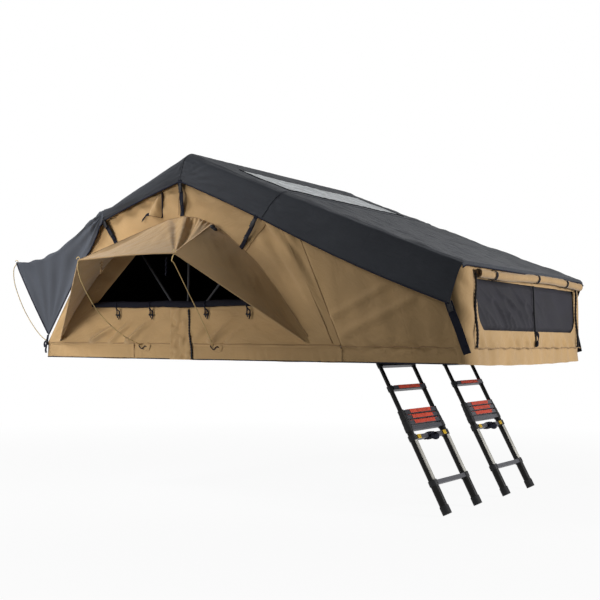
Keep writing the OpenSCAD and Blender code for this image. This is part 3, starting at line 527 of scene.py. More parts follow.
def curve(line: Line, count: int) -> Grid:
    """A smooth curve through points, at even steps.

    Args:
        line: points that it goes through.
        count: how many points it gets.

    Returns:
        The points.
    """
    points = np.array(line, float)
    padded = np.vstack([2 * points[0] - points[1], points, 2 * points[-1] - points[-2]])
    made = []
    for i in range(1, len(padded) - 2):
        p0, p1, p2, p3 = padded[i - 1 : i + 3]
        bend = 2 * p0 - 5 * p1 + 4 * p2 - p3
        twist = 3 * p1 - p0 - 3 * p2 + p3
        for t in np.linspace(0, 1, 24, endpoint=False):
            made.append(0.5 * (2 * p1 + (p2 - p0) * t + bend * t**2 + twist * t**3))
    made.append(points[-1])
    return spaced(made, count)


def ripple(a: Any, b: Any, seed: int, length: float, way: float, spread: float = 0.5) -> Any:
    """Soft folds over a flat coordinate.

    Args:
        a: first coordinate, in metres.
        b: second coordinate, in metres.
        seed: which set of folds.
        length: mean distance between folds.
        way: angle of the direction across the folds.
        spread: how far the folds' directions differ.

    Returns:
        Heights, about -1 to 1.
    """
    rng = np.random.default_rng(seed)
    total = 0.0
    for _ in range(7):
        turn = way + rng.normal(0.0, spread)
        wave = length * rng.uniform(0.6, 1.7)
        phase = rng.uniform(0.0, 2 * pi)
        total = total + np.sin(2 * pi * (a * cos(turn) + b * sin(turn)) / wave + phase)
    return np.tanh(total / 2.4)


def ring(outer: Sequence[Any], inner: Sequence[Any], counts: Sequence[int], across: int) -> Grid:
    """A closed grid between two loops.

    Args:
        outer: the outer loop's sides, each a polyline.
        inner: the inner loop's sides, in the same order.
        counts: points on each side.
        across: rows from the outer loop to the inner one.

    Returns:
        Points by row and by place along the loop; the last column repeats the first.
    """
    loops = []
    for sides in (outer, inner):
        loop = np.vstack([spaced(side, n + 1)[:-1] for side, n in zip(sides, counts)])
        loops.append(np.vstack([loop, loop[:1]]))
    return np.stack([lerp(loops[0], loops[1], t) for t in unit(across)])


def sides_of(*corners: Pair) -> list[Any]:
    """The sides of a closed loop, from its corners in order."""
    return [[a, b] for a, b in zip(corners, corners[1:] + corners[:1])]


def lift(grid: Grid) -> Grid:
    """Unit normals of a grid of points."""
    return aimed(np.cross(np.gradient(grid, axis=0), np.gradient(grid, axis=1)))


def points_of(x: Any, y: Any, z: Any) -> Grid:
    """Points from three coordinates."""
    return np.stack(np.broadcast_arrays(*(np.asarray(k, float) for k in (x, y, z))), axis=-1)


def model(x: Any, y: Any, z: Any) -> Grid:
    """Points measured from the hinge line, in the model's frame."""
    return points_of(np.asarray(x, float) + HINGE[0], y, z)


def seated(points: Grid) -> Grid:
    """One array of points measured from the hinge line, in the model's frame."""
    return model(points[..., 0], points[..., 1], points[..., 2])


def quads(rows: int, columns: int) -> list[Any]:
    """The faces of a grid of points."""
    firsts = (i * columns + j for i in range(rows - 1) for j in range(columns - 1))
    return [(p, p + columns, p + columns + 1, p + 1) for p in firsts]


def bands(count: int, sides: int) -> list[Any]:
    """The faces between closed rings of points."""
    pairs = ((i * sides + k, i * sides + (k + 1) % sides) for i in range(count - 1) for k in range(sides))
    return [(a, b, b + sides, a + sides) for a, b in pairs]


@dataclass(frozen=True)
class Cut:
    """The flat cloth that a sheet is cut from, and how the sheet is held."""

    width: float
    length: float
    held: str
    rests_on: tuple[str, ...]


@dataclass(frozen=True)
class Maker:
    """Turns grids and paths into dressed objects, and ties them to the frame."""

    # How cloth follows the halves and the entrance hoop: lengths in metres, the hoop's sweep in degrees
    fold_lag: float = 0.009
    gusset_width: float = 0.19
    deck_end: float = 1.2
    deck_ease: float = 0.15
    porch_start: float = 0.135
    porch_ease: float = 0.5
    porch_sweep: float = 152.1
    porch_most: float = 1.3

    def mesh(self, name: str, points: Grid, faces: list[Any], uvs: Optional[Grid], finish: Finish) -> Any:
        """An object from points and faces.

        Args:
            name: its name.
            points: vertices.
            faces: vertex numbers of each face.
            uvs: one pair for each vertex, or None.
            finish: its finish.

        Returns:
            The object.
        """
        data = bpy.data.meshes.new(name)
        data.from_pydata([tuple(p) for p in points], [], faces)
        if uvs is not None:
            layer = data.uv_layers.new(name="flat")
            index = np.zeros(len(data.loops), np.int32)
            data.loops.foreach_get("vertex_index", index)
            layer.data.foreach_set("uv", uvs[index].astype(np.float32).ravel())
        data.polygons.foreach_set("use_smooth", [True] * len(data.polygons))
        data.materials.append(finish.material())
        obj = bpy.data.objects.new(name, data)
        bpy.context.scene.collection.objects.link(obj)
        LOG.info("%s: %d points", name, len(points))
        return obj

    @staticmethod
    def even(obj: Any) -> None:
        """Evens the shading of a piece by the size of its faces."""
        even = obj.modifiers.new("even", "WEIGHTED_NORMAL")
        even.mode, even.weight = "FACE_AREA", 80

    def cloth(
        self, name: str, grid: Grid, finish: Finish, inside: Optional[Finish] = None, thick: float = 0.0016,
        face: Optional[Sequence[float]] = None, start: Pair = (0.0, 0.0),
    ) -> Any:
        """A sheet from a grid, thickened, with its flat lengths as UVs.

        Args:
            name: its name.
            grid: points by row and column.
            finish: finish of its outer face.
            inside: the other face's finish.
            thick: thickness of the cloth.
            face: the way its outer face looks, where the grid's own order doesn't say it.
            start: flat lengths at its first corner, where it goes on from another cut.

        Returns:
            The object.
        """
        flat = np.stack(np.meshgrid(start[1] + flat_run(grid, 1), start[0] + flat_run(grid, 0)), axis=-1)
        if face is not None:
            down, over = grid[1:, :-1] - grid[:-1, :-1], grid[:-1, 1:] - grid[:-1, :-1]
            if (np.cross(down, over) @ np.asarray(face, float)).sum() < 0:
                grid, flat = grid[:, ::-1], flat[:, ::-1]
        obj = self.mesh(name, grid.reshape(-1, 3), quads(*grid.shape[:2]), flat.reshape(-1, 2), finish)
        if inside is not None:
            obj.data.materials.append(inside.material())
        solid = obj.modifiers.new("thick", "SOLIDIFY")
        solid.thickness, solid.offset = thick, -1.0
        solid.material_offset = 1 if inside is not None else 0
        self.even(obj)
        return obj

    def tube(
        self, name: str, path: Grid, radius: Any, finish: Finish, sides: int = 12, flat: float = 1.0
    ) -> Any:
        """A round or flattened tube along a path, closed at its ends.

        Args:
            name: its name.
            path: its middle line.
            radius: one radius, or one for each point.
            finish: its finish.
            sides: points round it.
            flat: height over width.

        Returns:
            The object.
        """
        path = np.asarray(path, float)
        radii = np.broadcast_to(np.asarray(radius, float), (len(path),))
        ways = aimed(np.gradient(path, axis=0))
        side = aimed(np.cross(ways[0], (0.31, 0.93, 0.21)))
        turn = np.linspace(0, 2 * pi, sides, endpoint=False)
        rings = []
        for point, way, r in zip(path, ways, radii):
            side = aimed(side - way * (side @ way))
            up = np.cross(way, side)
            rings.append(point + r * (np.outer(np.cos(turn), side) + flat * np.outer(np.sin(turn), up)))
        points = np.vstack([np.vstack(rings), path[:1], path[-1:]])
        n = len(path)
        faces = bands(n, sides)
        last = (n - 1) * sides
        for k in range(sides):
            faces.append((n * sides, (k + 1) % sides, k))
            faces.append((n * sides + 1, last + k, last + (k + 1) % sides))
        run = lengths(path)
        uvs = [(k * 2 * pi * r / sides, s) for s, r in zip(run, radii) for k in range(sides)]
        return self.mesh(name, points, faces, np.array(uvs + [(0, 0), (0, run[-1])]), finish)

    def soften(self, node: Any) -> None:
        """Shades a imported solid's round faces smoothly and keeps its edges sharp."""
        group = bpy.data.node_groups.get("soft_edges") or self.soft_edges()
        node.modifiers.new("soft_edges", "NODES").node_group = group

    @staticmethod
    def soft_edges() -> Any:
        """The node group that shades faces smooth up to an angle between them."""
        group = bpy.data.node_groups.new("soft_edges", "GeometryNodeTree")
        for way in ("INPUT", "OUTPUT"):
            group.interface.new_socket(name="Geometry", in_out=way, socket_type="NodeSocketGeometry")
        add = group.nodes.new
        start, end = add("NodeGroupInput"), add("NodeGroupOutput")
        faces, edges = add("GeometryNodeSetShadeSmooth"), add("GeometryNodeSetShadeSmooth")
        angle, sharp = add("GeometryNodeInputMeshEdgeAngle"), add("FunctionNodeCompare")
        edges.domain, sharp.operation = "EDGE", "GREATER_THAN"
        sharp.inputs[1].default_value = SHARP_ANGLE
        edges.inputs["Shade Smooth"].default_value = False
        links = [(start, faces, 0), (faces, edges, 0), (edges, end, 0)]
        links += [(angle, sharp, 0), (sharp, edges, "Selection")]
        for a, b, key in links:
            group.links.new(a.outputs[0], b.inputs[key])
        return group

    def ribbon(
        self, name: str, path: Grid, across: Any, width: float, thick: float, finish: Finish = STRAP
    ) -> Any:
        """A flat strap along a path.

        Args:
            name: its name.
            path: its middle line.
            across: the direction of its width, one or one for each point.
            width: its width.
            thick: its thickness.
            finish: its finish.

        Returns:
            The object.
        """
        path = np.asarray(path, float)
        across = aimed(np.broadcast_to(np.asarray(across, float), path.shape))
        grid = np.stack([path + across * width * s for s in (-0.5, -0.44, -0.2, 0.2, 0.44, 0.5)], axis=1)
        obj = self.cloth(name, grid, finish, None, thick)
        obj.modifiers["thick"].offset = 0.0
        return obj

    def join(self, name: str, parts: Sequence[Any]) -> Any:
        """One object from several, with their modifiers applied first.

        Args:
            name: its name.
            parts: the objects.

        Returns:
            The object.
        """
        graph = bpy.context.evaluated_depsgraph_get()
        for part in parts:
            if part.modifiers:
                fresh = bpy.data.meshes.new_from_object(part.evaluated_get(graph))
                part.modifiers.clear()
                part.data = fresh
        with bpy.context.temp_override(active_object=parts[0], selected_editable_objects=list(parts)):
            bpy.ops.object.join()
        parts[0].name = name
        return parts[0]

    def follow(self, obj: Any, fold: Fold = Fold.FAN, node: str = "") -> Any:
        """Ties a piece on a base half to it; other pieces are baked in place and their shares go unused.

        Args:
            obj: the piece.
            fold: the half that carries it, or the fold that it is meant to follow.
            node: the CAD node it stands for, if any.

        Returns:
            The piece.
        """
        if fold in (Fold.FIXED, Fold.FOLDOUT):
            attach(obj, fold.value)
        else:
            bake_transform(obj)
            points = np.array([v.co for v in obj.data.vertices], float)
            share = self.fan(points) if fold is Fold.FAN else self.porch(points)
        if node:
            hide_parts(node)
        return obj

    def trim(
        self, name: str, path: Grid, radius: Any, finish: Finish, sides: int = 8, fold: Fold = Fold.FAN,
        flat: float = 1.0,
    ) -> Any:
        """A tube, such as a seam, hem, zip or binding, passed to follow; see tube and follow."""
        return self.follow(self.tube(name, path, radius, finish, sides, flat), fold)

    def panel(
        self, name: str, grid: Grid, face: Sequence[float], cut: Cut, fold: Fold = Fold.FAN, node: str = "",
        inside: Optional[Finish] = INSIDE_PAINTED_SHADE, trims: Sequence[Any] = (), start: Pair = (0.0, 0.0),
    ) -> None:
        """A piece of the tent's canvas; see cloth and follow."""
        sheet = self.cloth(name, grid, CANVAS, inside, face=face, start=start)
        self.follow(sheet, fold, node)

    def fan(self, points: Grid) -> Grid:
        """How far each point goes with the fold-out half: by its angle round the hinge, as the hoops do.

        Args:
            points: points in the model's frame.

        Returns:
            Shares from 0 to 1.
        """
        x, z = points[:, 0] - HINGE[0], points[:, 2] - HINGE[2]
        angle = np.degrees(np.arctan2(z, x))
        fan = np.clip((180.0 - angle) / 180.0, 0.0, 1.0)
        fan = fan + self.fold_lag * np.sin(pi * fan) * ripple(x, z, 21, 0.22, 0.7, 0.9)
        low = np.clip(x / self.gusset_width + 0.5, 0.0, 1.0)
        share = np.where(z < 0, low, fan)
        return lerp(share, 1.0, ease((x - self.deck_end) / self.deck_ease))

    def porch(self, points: Grid) -> Grid:
        """How far each point of the covered entrance goes with its hoop.

        Args:
            points: points in the model's frame.

        Returns:
            Shares, above 1 in front of the hoop.
        """
        x, z = points[:, 0] - PIN[0], points[:, 2] - PIN[2]
        swept = (180.0 - np.degrees(np.arctan2(z, x))) / self.porch_sweep
        return ease((x - self.porch_start) / self.porch_ease) * np.clip(swept, 0.0, self.porch_most)


MAKE = Maker()


def dress(name: str, *finishes: Finish) -> Any:
    """Puts finishes on a CAD node, the first one on every face.

    Args:
        name: the node's name.
        finishes: what its material slots hold.

    Returns:
        The node's mesh.
    """
    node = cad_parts[name]
    node.data.materials.clear()
    for finish in finishes:
        node.data.materials.append(finish.material())
    MAKE.soften(node)
    LOG.info("%s: %s", name, ", ".join(finish.name for finish in finishes))
    return node.data


# The tent's lines, from the hinge line

REAR_FOOT, REAR, RIDGE = (-1.2052, 0.1013), (-0.6576, 1.0195), (0.0103, 1.3255)
FRONT, DOOR_FOOT = (0.7812, 1.0494), (1.2035, 0.1055)
FLY_TOP = ((-0.656, 1.028), (0.050, 1.372), (0.794, 1.068), (2.011, 0.594))
FLY_HEM = ((-0.652, 0.955), (0.000, 1.180), (0.645, 0.898), (1.930, 0.348))
WALL_Y = 1.0975
INNER_HALF = 1.094
SILL_Z, SILL_HALF, WINDOW_TOP_Z, WINDOW_TOP_HALF = 0.350, 0.775, 0.815, 0.250
HOOD_TIPS = ((-0.396, 1.664, 0.634), (0.374, 1.664, 0.652))
SPLIT_X = 1.35
HOOPS = ("rear_hoop", "ridge_hoop", "front_hoop")
EDGE_FRAMES = ("fixed_edge_frame", "foldout_edge_frame")


def on_wall(line: Grid, off: Any, side: Side = Side.NEAR) -> Grid:
    """A line of (x, z) on a long wall, so far off it."""
    return model(line[:, 0], side.value * (WALL_Y + off), line[:, 1])


def off_wall(line: Grid, more: float = 0.0) -> Grid:
    """A line of (x, distance off the wall, z) on the near wall."""
    return model(line[:, 0], -(WALL_Y + more + line[:, 1]), line[:, 2])


def crease(x: Any, z: Any, start: Sequence[float], end: Sequence[float], wide: float) -> Any:
    """A narrow fold from one place to another, fading at both ends.

    Args:
        x: first coordinate of each point.
        z: second coordinate.
        start: where the fold starts.
        end: where it ends.
        wide: half its width.

    Returns:
        Heights from 0 to 1.
    """
    run = np.array(end) - np.array(start)
    length = np.linalg.norm(run)
    way = run / length
    along = ((x - start[0]) * way[0] + (z - start[1]) * way[1]) / length
    off = (x - start[0]) * way[1] - (z - start[1]) * way[0]
    return bell(off, 0.0, wide) * ease((along + 0.1) / 0.25) * ease((1.0 - along) / 0.7)


def sprung_rod(what: str, place: str, path: Grid, loop: Grid, node: str) -> None:
    """A sprung rod along a path and the hook at its end; node is the CAD node that it stands for, if any."""
    MAKE.follow(MAKE.tube(f"{what}_rod_{place}", path, 0.003, ROD, 10), Fold.FAN, node)
    MAKE.follow(MAKE.tube(f"{what}_hook_{place}", loop, 0.0026, ROD, 8))


@dataclass
class Base:
    """Deck halves, mattresses and skirts."""

    half: float = 1.0978
    deck_z: float = 0.08
    mattress_z: float = 0.145
    mattress_half: float = 0.976
    mattress_ends: Pair = (0.006, 1.174)
    skirt_top: float = 0.088
    fixed_skirt: Pair = (-1.203, -0.07)
    foldout_skirt: Pair = (0.07, 1.214)

    def build(self) -> None:
        """Dresses the metal and makes the soft pieces."""
        bare = ("fixed_base_panel", "foldout_base_panel", "rack_rails", *EDGE_FRAMES)
        black = ("fixed_hinge_ears", "foldout_hinge_ears", "ladder_brackets", "entrance_hoop_brackets")
        finishes = {ALUMINIUM: bare, STEEL: black, BOLT: ("pivot_bolts",), HOOP: (*HOOPS, "entrance_hoop")}
        for finish, names in finishes.items():
            for name in names:
                dress(name, finish)
        inner, outer = self.mattress_ends
        self.mattress("fixed", -outer, -inner, Fold.FIXED)
        self.mattress("foldout", inner, outer, Fold.FOLDOUT)
        self.skirt("fixed", self.fixed_skirt, Fold.FIXED)
        self.skirt("foldout", self.foldout_skirt, Fold.FOLDOUT)
        self.end_skirt()

    def mattress(self, which: str, x0: float, x1: float, fold: Fold) -> None:
        """A quilted mattress half with piped edges.

        Args:
            which: name of the half.
            x0: its end towards the rear.
            x1: its end towards the entrance.
            fold: the half that carries it.
        """
        rows, columns = 61, 97
        u, v = lattice(np.linspace(-1, 1, rows), np.linspace(-1, 1, columns))
        half_x = (x1 - x0) / 2 - 0.01 * (1 - v**4)
        half_y = self.mattress_half - 0.01 * (1 - u**4)
        crown = (1 - np.abs(u) ** 12) * (1 - np.abs(v) ** 16)
        tufts = np.abs(np.sin(u * 4 * pi)) ** 0.4 * np.abs(np.sin(v * 6 * pi)) ** 0.4
        x, y = (x0 + x1) / 2 + u * half_x, v * half_y
        top = model(x, y, self.mattress_z - 0.013 * (1 - crown) + 0.004 * (tufts - 1) * crown)
        low = model(x, y, self.deck_z + 0.0004)
        points = np.vstack([top.reshape(-1, 3), low.reshape(-1, 3)])
        n = rows * columns
        faces = quads(rows, columns)
        faces += [tuple(n + p for p in face[::-1]) for face in faces]
        edge = list(range(columns)) + [i * columns + columns - 1 for i in range(1, rows)]
        edge += [n - 1 - i for i in range(1, columns)] + [i * columns for i in range(rows - 2, 0, -1)]
        for a, b in zip(edge, edge[1:] + edge[:1]):
            faces.append((a, b, n + b, n + a))
        pad = MAKE.mesh(f"{which}_mattress_pad", points, faces, points[:, :2], MATTRESS)
        rim = points[edge + edge[:1]] - (0, 0, 0.003)
        MAKE.follow(pad, fold, f"{which}_mattress")
        MAKE.trim(f"{which}_mattress_piping", rim, 0.0035, BINDING, fold=fold)

    def skirt(self, which: str, ends: Pair, fold: Fold) -> None:
        """The strip of canvas below the long walls on one half, with its bound foot.

        Args:
            which: name of the half.
            ends: where the strip starts and ends.
            fold: the half that carries it.
        """
        cut = Cut(1.145, 0.09, "hung", (f"{which}_edge_frame",))
        x, z = lattice(np.linspace(*ends, 90), np.linspace(0.0, self.skirt_top, 9))
        drop = 1 - z / self.skirt_top
        wave = 0.005 * ripple(x, z * 0.5, 11, 0.11, 0.35) * ease(drop / 0.3)
        foot = z + 0.003 * ripple(x, 0.0, 5, 0.5, 0.0) * drop
        for side in Side:
            grid = model(x, side.value * (self.half + np.abs(wave)), foot)
            node = f"{which}_skirt" if side is Side.NEAR else ""
            MAKE.panel(f"{which}_skirt_{side.word}", grid, (0, side.value, 0), cut, fold, node)
            path = spaced([(end, side.value * 1.1, 0.003) for end in ends], 60)
            MAKE.trim(f"{which}_edge_{side.word}", seated(path), 0.0034, BINDING, 7, fold)

    def end_skirt(self) -> None:
        """The strip of canvas below the rear wall."""
        y, z = lattice(np.linspace(-1.095, 1.095, 120), np.linspace(0.0, self.skirt_top, 9))
        wave = 0.003 * np.abs(ripple(y, z * 0.2, 12, 0.13, 0.0)) * (1 - z / self.skirt_top)
        cut = Cut(2.19, 0.09, "hung", ("fixed_edge_frame",))
        MAKE.panel("fixed_skirt_end", model(-1.2028 - wave, y, z), (-1, 0, 0), cut, Fold.FIXED)


# A long wall's creases: start and end in x and z, half width and depth

WALL_CREASES = (
    ((0.66, 0.90), (0.97, 0.55), 0.020, 0.022),
    ((0.60, 0.80), (0.93, 0.42), 0.035, 0.018),
    ((0.75, 0.92), (1.02, 0.52), 0.014, 0.018),
    ((-0.10, 1.10), (-0.40, 0.90), 0.016, 0.006),
    ((0.05, 1.12), (0.34, 0.92), 0.018, 0.007),
    ((-0.80, 0.105), (-0.48, 0.275), 0.018, 0.034),
    ((-0.62, 0.105), (-0.36, 0.300), 0.015, 0.030),
    ((-0.48, 0.100), (-0.21, 0.290), 0.018, 0.036),
    ((0.09, 0.115), (0.25, 0.255), 0.016, 0.022),
    ((0.22, 0.110), (0.45, 0.270), 0.020, 0.028),
    ((0.36, 0.11), (0.54, 0.23), 0.018, 0.024),
)

# Sewn lines on both long walls, in x and z

WALL_SEAMS = {
    "rear_edge": ((-0.742, 0.800), (-0.690, 0.905)),
    "ridge": ((-0.030, 0.960), (-0.030, 1.185)),
    "front": ((0.700, 0.905), (0.500, 0.690)),
    "pleat": ((0.761, 0.860), (0.863, 0.693), (0.990, 0.450), (1.150, 0.115)),
    "skirt": ((-0.400, 0.010), (-0.402, 0.100)),
}


@dataclass
class Walls:
    """The inner tent: long walls, end walls, canopy, windows and their trim."""

    foot_z: float = 0.088
    gusset_top: float = 0.335
    roll_half: float = 0.765
    roll_radius: float = 0.021
    toggles: tuple[float, ...] = (-0.534, -0.244, 0.214, 0.544)
    rod_feet: tuple[float, ...] = (-0.336, 0.261)

    def build(self) -> None:
        """Makes every wall and what is sewn to it."""
        for side in Side:
            self.long_wall(side)
        self.rear_wall()
        self.canopy()
        self.door_wall()
        for side in Side:
            self.gusset(side)
        self.far_flap()
        self.vent()
        self.screen_roll()
        for k, at in enumerate(self.toggles):
            self.toggle(k, at)
        self.seams()
        for k, at in enumerate(self.rod_feet):
            self.rod_patch(k, at)

    def outline(self) -> list[Any]:
        """The outer loop of a long wall, side by side."""
        rear, front = (-1.2, self.foot_z), (1.2, self.foot_z)
        return [
            [rear, front],
            [front, (1.2045, 0.1), DOOR_FOOT, FRONT],
            [FRONT, RIDGE, REAR],
            [REAR, REAR_FOOT, rear],
        ]

    @staticmethod
    def window() -> list[Any]:
        """The window's loop."""
        a, b = (-SILL_HALF, SILL_Z), (SILL_HALF, SILL_Z)
        c, d = (WINDOW_TOP_HALF, WINDOW_TOP_Z), (-WINDOW_TOP_HALF - 0.035, WINDOW_TOP_Z)
        return sides_of(a, b, c, d)

    @staticmethod
    def wall_relief(x: Grid, z: Grid) -> Grid:
        """How far a long wall's cloth stands out.

        Args:
            x: places along the wall.
            z: heights.

        Returns:
            Distances in metres.
        """
        sill = bell(x, -0.4, 0.32) * bell(z, 0.19, 0.1)
        side = bell(x, 0.95, 0.22) * bell(z, 0.62, 0.22)
        relief = 0.004 * sill * ripple(x, z, 31, 0.16, radians(118), 0.12)
        for start, end, wide, deep in WALL_CREASES:
            relief += deep * crease(x, z, start, end, wide)
        relief += 0.004 * bell(z, 0.15, 0.1) * ripple(x, z, 32, 0.11, radians(112), 0.2)
        relief += 0.017 * side * ripple(x, z, 33, 0.17, radians(28), 0.2)
        relief += 0.014 * bell(z, 1.05, 0.12) * ripple(x, z, 34, 0.13, radians(60), 0.4)
        return relief + 0.005 * ripple(x, z, 35, 0.24, 0.3, 1.2)

    def long_wall(self, side: Side) -> None:
        """One long wall with its window opening.

        Args:
            side: which side.
        """
        loop = ring(self.outline(), self.window(), (150, 80, 90, 80), 30)
        x, z = loop[..., 0], loop[..., 1]
        edge = unit(loop.shape[0])[:, None]
        hold = ease(edge / 0.12) * ease((1 - edge) / 0.1)
        y = side.value * (WALL_Y + 0.002 + hold * (0.004 + self.wall_relief(x, z)))
        name = f"{side.word}_wall"
        cut = Cut(2.45, 1.3, "stretched", (*HOOPS, *EDGE_FRAMES))
        MAKE.panel(f"{name}_canvas", model(x, y, z), (0, side.value, 0), cut, node=name)

    def rear_wall(self) -> None:
        """The sloping wall at the fixed end."""
        y, t = lattice(np.linspace(-INNER_HALF, INNER_HALF, 110), unit(50))
        x, z = lerp(REAR_FOOT[0], REAR[0], t), lerp(REAR_FOOT[1], REAR[1], t)
        swell = np.sin(pi * t) * np.cos(y / INNER_HALF * pi / 2) ** 0.4
        out = swell * (0.006 + 0.004 * ripple(y, t * 1.06, 41, 0.22, 0.9, 0.6))
        grid = model(x - 0.86 * out, y, z + 0.51 * out)
        cut = Cut(2.19, 1.08, "stretched", ("rear_hoop", "fixed_edge_frame"))
        MAKE.panel("rear_wall_canvas", grid, (-0.86, 0, 0.51), cut, node="rear_wall")

    def canopy(self) -> None:
        """The inner roof over the hoops, under the fly."""
        count = 70
        line = spaced(rounded([REAR, RIDGE, FRONT], 0.03), count)
        y = np.linspace(-INNER_HALF, INNER_HALF, 60)
        drop = 0.004 + 0.01 * np.abs(np.sin(2 * pi * np.arange(count) / (count - 1)))
        grid = model(line[:, None, 0], y[None, :], line[:, None, 1] - drop[:, None])
        cut = Cut(2.19, 1.56, "stretched", HOOPS)
        MAKE.panel("roof_canopy_canvas", grid, (0, 0, 1), cut, node="roof_canopy")

    def door_wall(self) -> None:
        """The inner wall with the door, behind the covered entrance."""
        foot, top, low, high, half = 0.032, 1.0, 0.1, 0.8, 0.62
        outer = sides_of((-INNER_HALF, foot), (INNER_HALF, foot), (INNER_HALF, top), (-INNER_HALF, top))
        inner = sides_of((-half, low), (half, low), (half, high), (-half, high))
        loop = ring(outer, inner, (70, 40, 70, 40), 14)
        y, t = loop[..., 0], loop[..., 1]
        up = np.where((np.abs(y) > 0.985) & (t < 0.13), 0.13, t)
        x, z = lerp(DOOR_FOOT[0], FRONT[0], up), lerp(DOOR_FOOT[1], FRONT[1], up)
        out = 0.003 * ripple(y, t, 43, 0.2, 0.4, 0.6) * np.sin(pi * np.clip(t, 0, 1))
        cut = Cut(2.19, 1.04, "stretched", ("front_hoop", "foldout_edge_frame"))
        MAKE.panel("door_wall_canvas", model(x + 0.91 * out - 0.004, y, z), (1, 0, 0), cut, node="door_wall")

    def gusset(self, side: Side) -> None:
        """The pleated panel over the hinge, with a zip on its edge.

        Args:
            side: which side.
        """
        u, v = lattice(unit(40), unit(50))
        x = lerp(lerp(-0.094, 0.094, u), lerp(-0.09, 0.062, u), v)
        z = lerp(0.0, self.gusset_top, v)
        folds = 0.005 * ripple(x, z, 51, 0.055, 0.15, 0.45) + 0.004 * ripple(x, z, 52, 0.1, 1.2, 0.4)
        y = side.value * (WALL_Y + 0.0085 + between(u, 0, 1, 0.06) * (0.005 + folds))
        t = unit(9)
        line = np.stack([lerp(0.092, 0.06, t) + 0.004 * np.sin(9 * t), lerp(0.004, 0.33, t)], axis=1)
        teeth = 0.006 + 0.0015 * np.sin(np.arange(60) * 1.9)
        path = on_wall(curve(line, 60), 0.013, side)
        zip_line = MAKE.trim(f"hinge_zip_{side.word}", path, teeth, ZIP)
        cut = Cut(0.19, 0.35, "hung", (f"{side.word}_wall_canvas",))
        node = "hinge_gussets" if side is Side.NEAR else ""
        name = f"hinge_gusset_{side.word}"
        MAKE.panel(name, model(x, y, z), (0, side.value, 0), cut, node=node, trims=[zip_line])

    def far_flap(self) -> None:
        """The closed window on the far side, with a zip round it."""
        u, v = lattice(np.linspace(-1, 1, 90), unit(40))
        half = lerp(SILL_HALF, WINDOW_TOP_HALF + 0.04, v) + 0.02
        x, z = u * half, lerp(SILL_Z - 0.02, WINDOW_TOP_Z + 0.02, v)
        edge = between(u, -1, 1, 0.1) * between(v, 0, 1, 0.1)
        y = WALL_Y + 0.0085 + edge * (0.004 + 0.004 * ripple(x, z, 61, 0.16, 0.6, 0.5))
        foot, top = (-SILL_HALF, SILL_Z), (-WINDOW_TOP_HALF, WINDOW_TOP_Z)
        corners = [foot, top, (WINDOW_TOP_HALF, WINDOW_TOP_Z), (SILL_HALF, SILL_Z), foot]
        path = on_wall(spaced(rounded(corners, 0.05), 240), 0.014, Side.FAR)
        teeth = 0.0055 + 0.001 * np.sin(np.arange(240) * 1.7)
        zip_line = MAKE.trim("far_window_zip", path, teeth, ZIP)
        cut = Cut(1.59, 0.51, "hung", ("far_wall_canvas",))
        name, node = "far_window_flap_canvas", "far_window_flap"
        MAKE.panel(name, model(x, y, z), (0, 1, 0), cut, node=node, trims=[zip_line])

    def vent(self) -> None:
        """The small vent hood under the fly, pinned out at its lower corner."""
        u, v = lattice(unit(26), unit(26))
        left = lerp(np.array([-0.286, 0.978]), np.array([-0.218, 1.092]), v[..., None])
        right = lerp(np.array([-0.165, 0.948]), np.array([-0.171, 1.122]), v[..., None])
        flat = lerp(left, right, u[..., None])
        out = 0.044 * np.sin(pi * u) * (1 - v) ** 0.7
        out += 0.003 * ripple(u * 0.1, v * 0.1, 71, 0.05, 0.8, 0.4)
        grid = model(flat[..., 0], -(WALL_Y + 0.01 + out), flat[..., 1])
        rim = [(-0.171, 1.12), (-0.167, 1.03), (-0.165, 0.948), (-0.225, 0.963), (-0.286, 0.978)]
        line = on_wall(spaced(rounded(rim, 0.012), 60), 0.013)
        binding = MAKE.trim("vent_binding", line, 0.0042, BINDING)
        tail = curve([(-0.276, 0.978), (-0.3, 0.974), (-0.318, 0.956), (-0.338, 0.937)], 24)
        tab = MAKE.ribbon("vent_tab", on_wall(tail, 0.016), (0.3, 0.0, 0.95), 0.02, 0.003, BINDING)
        MAKE.follow(tab)
        cut = Cut(0.11, 0.19, "hung", ("near_wall_canvas",))
        trims = [binding, tab]
        MAKE.panel("vent_flap_canvas", grid, (0, -1, 0), cut, node="vent_flap", inside=CANVAS, trims=trims)

    def screen_roll(self) -> None:
        """The dark window cover, rolled down onto the sill."""
        x = np.linspace(-self.roll_half, self.roll_half, 150)
        swell = 1 + 0.1 * ripple(x, 0.0, 81, 0.35, 0.0) + 0.05 * ripple(x, 0.3, 82, 0.08, 0.0)
        ends = np.minimum(1.0, 0.55 + 6 * (self.roll_half - np.abs(x)))
        path = model(x, -(WALL_Y + self.roll_radius), SILL_Z + 0.017 + 0.004 * ripple(x, 0.0, 83, 0.5, 0.0))
        roll = MAKE.tube("window_screen_rolled", path, self.roll_radius * swell * ends, SCREEN, 20)
        MAKE.follow(roll, Fold.FAN, "window_screen_roll")

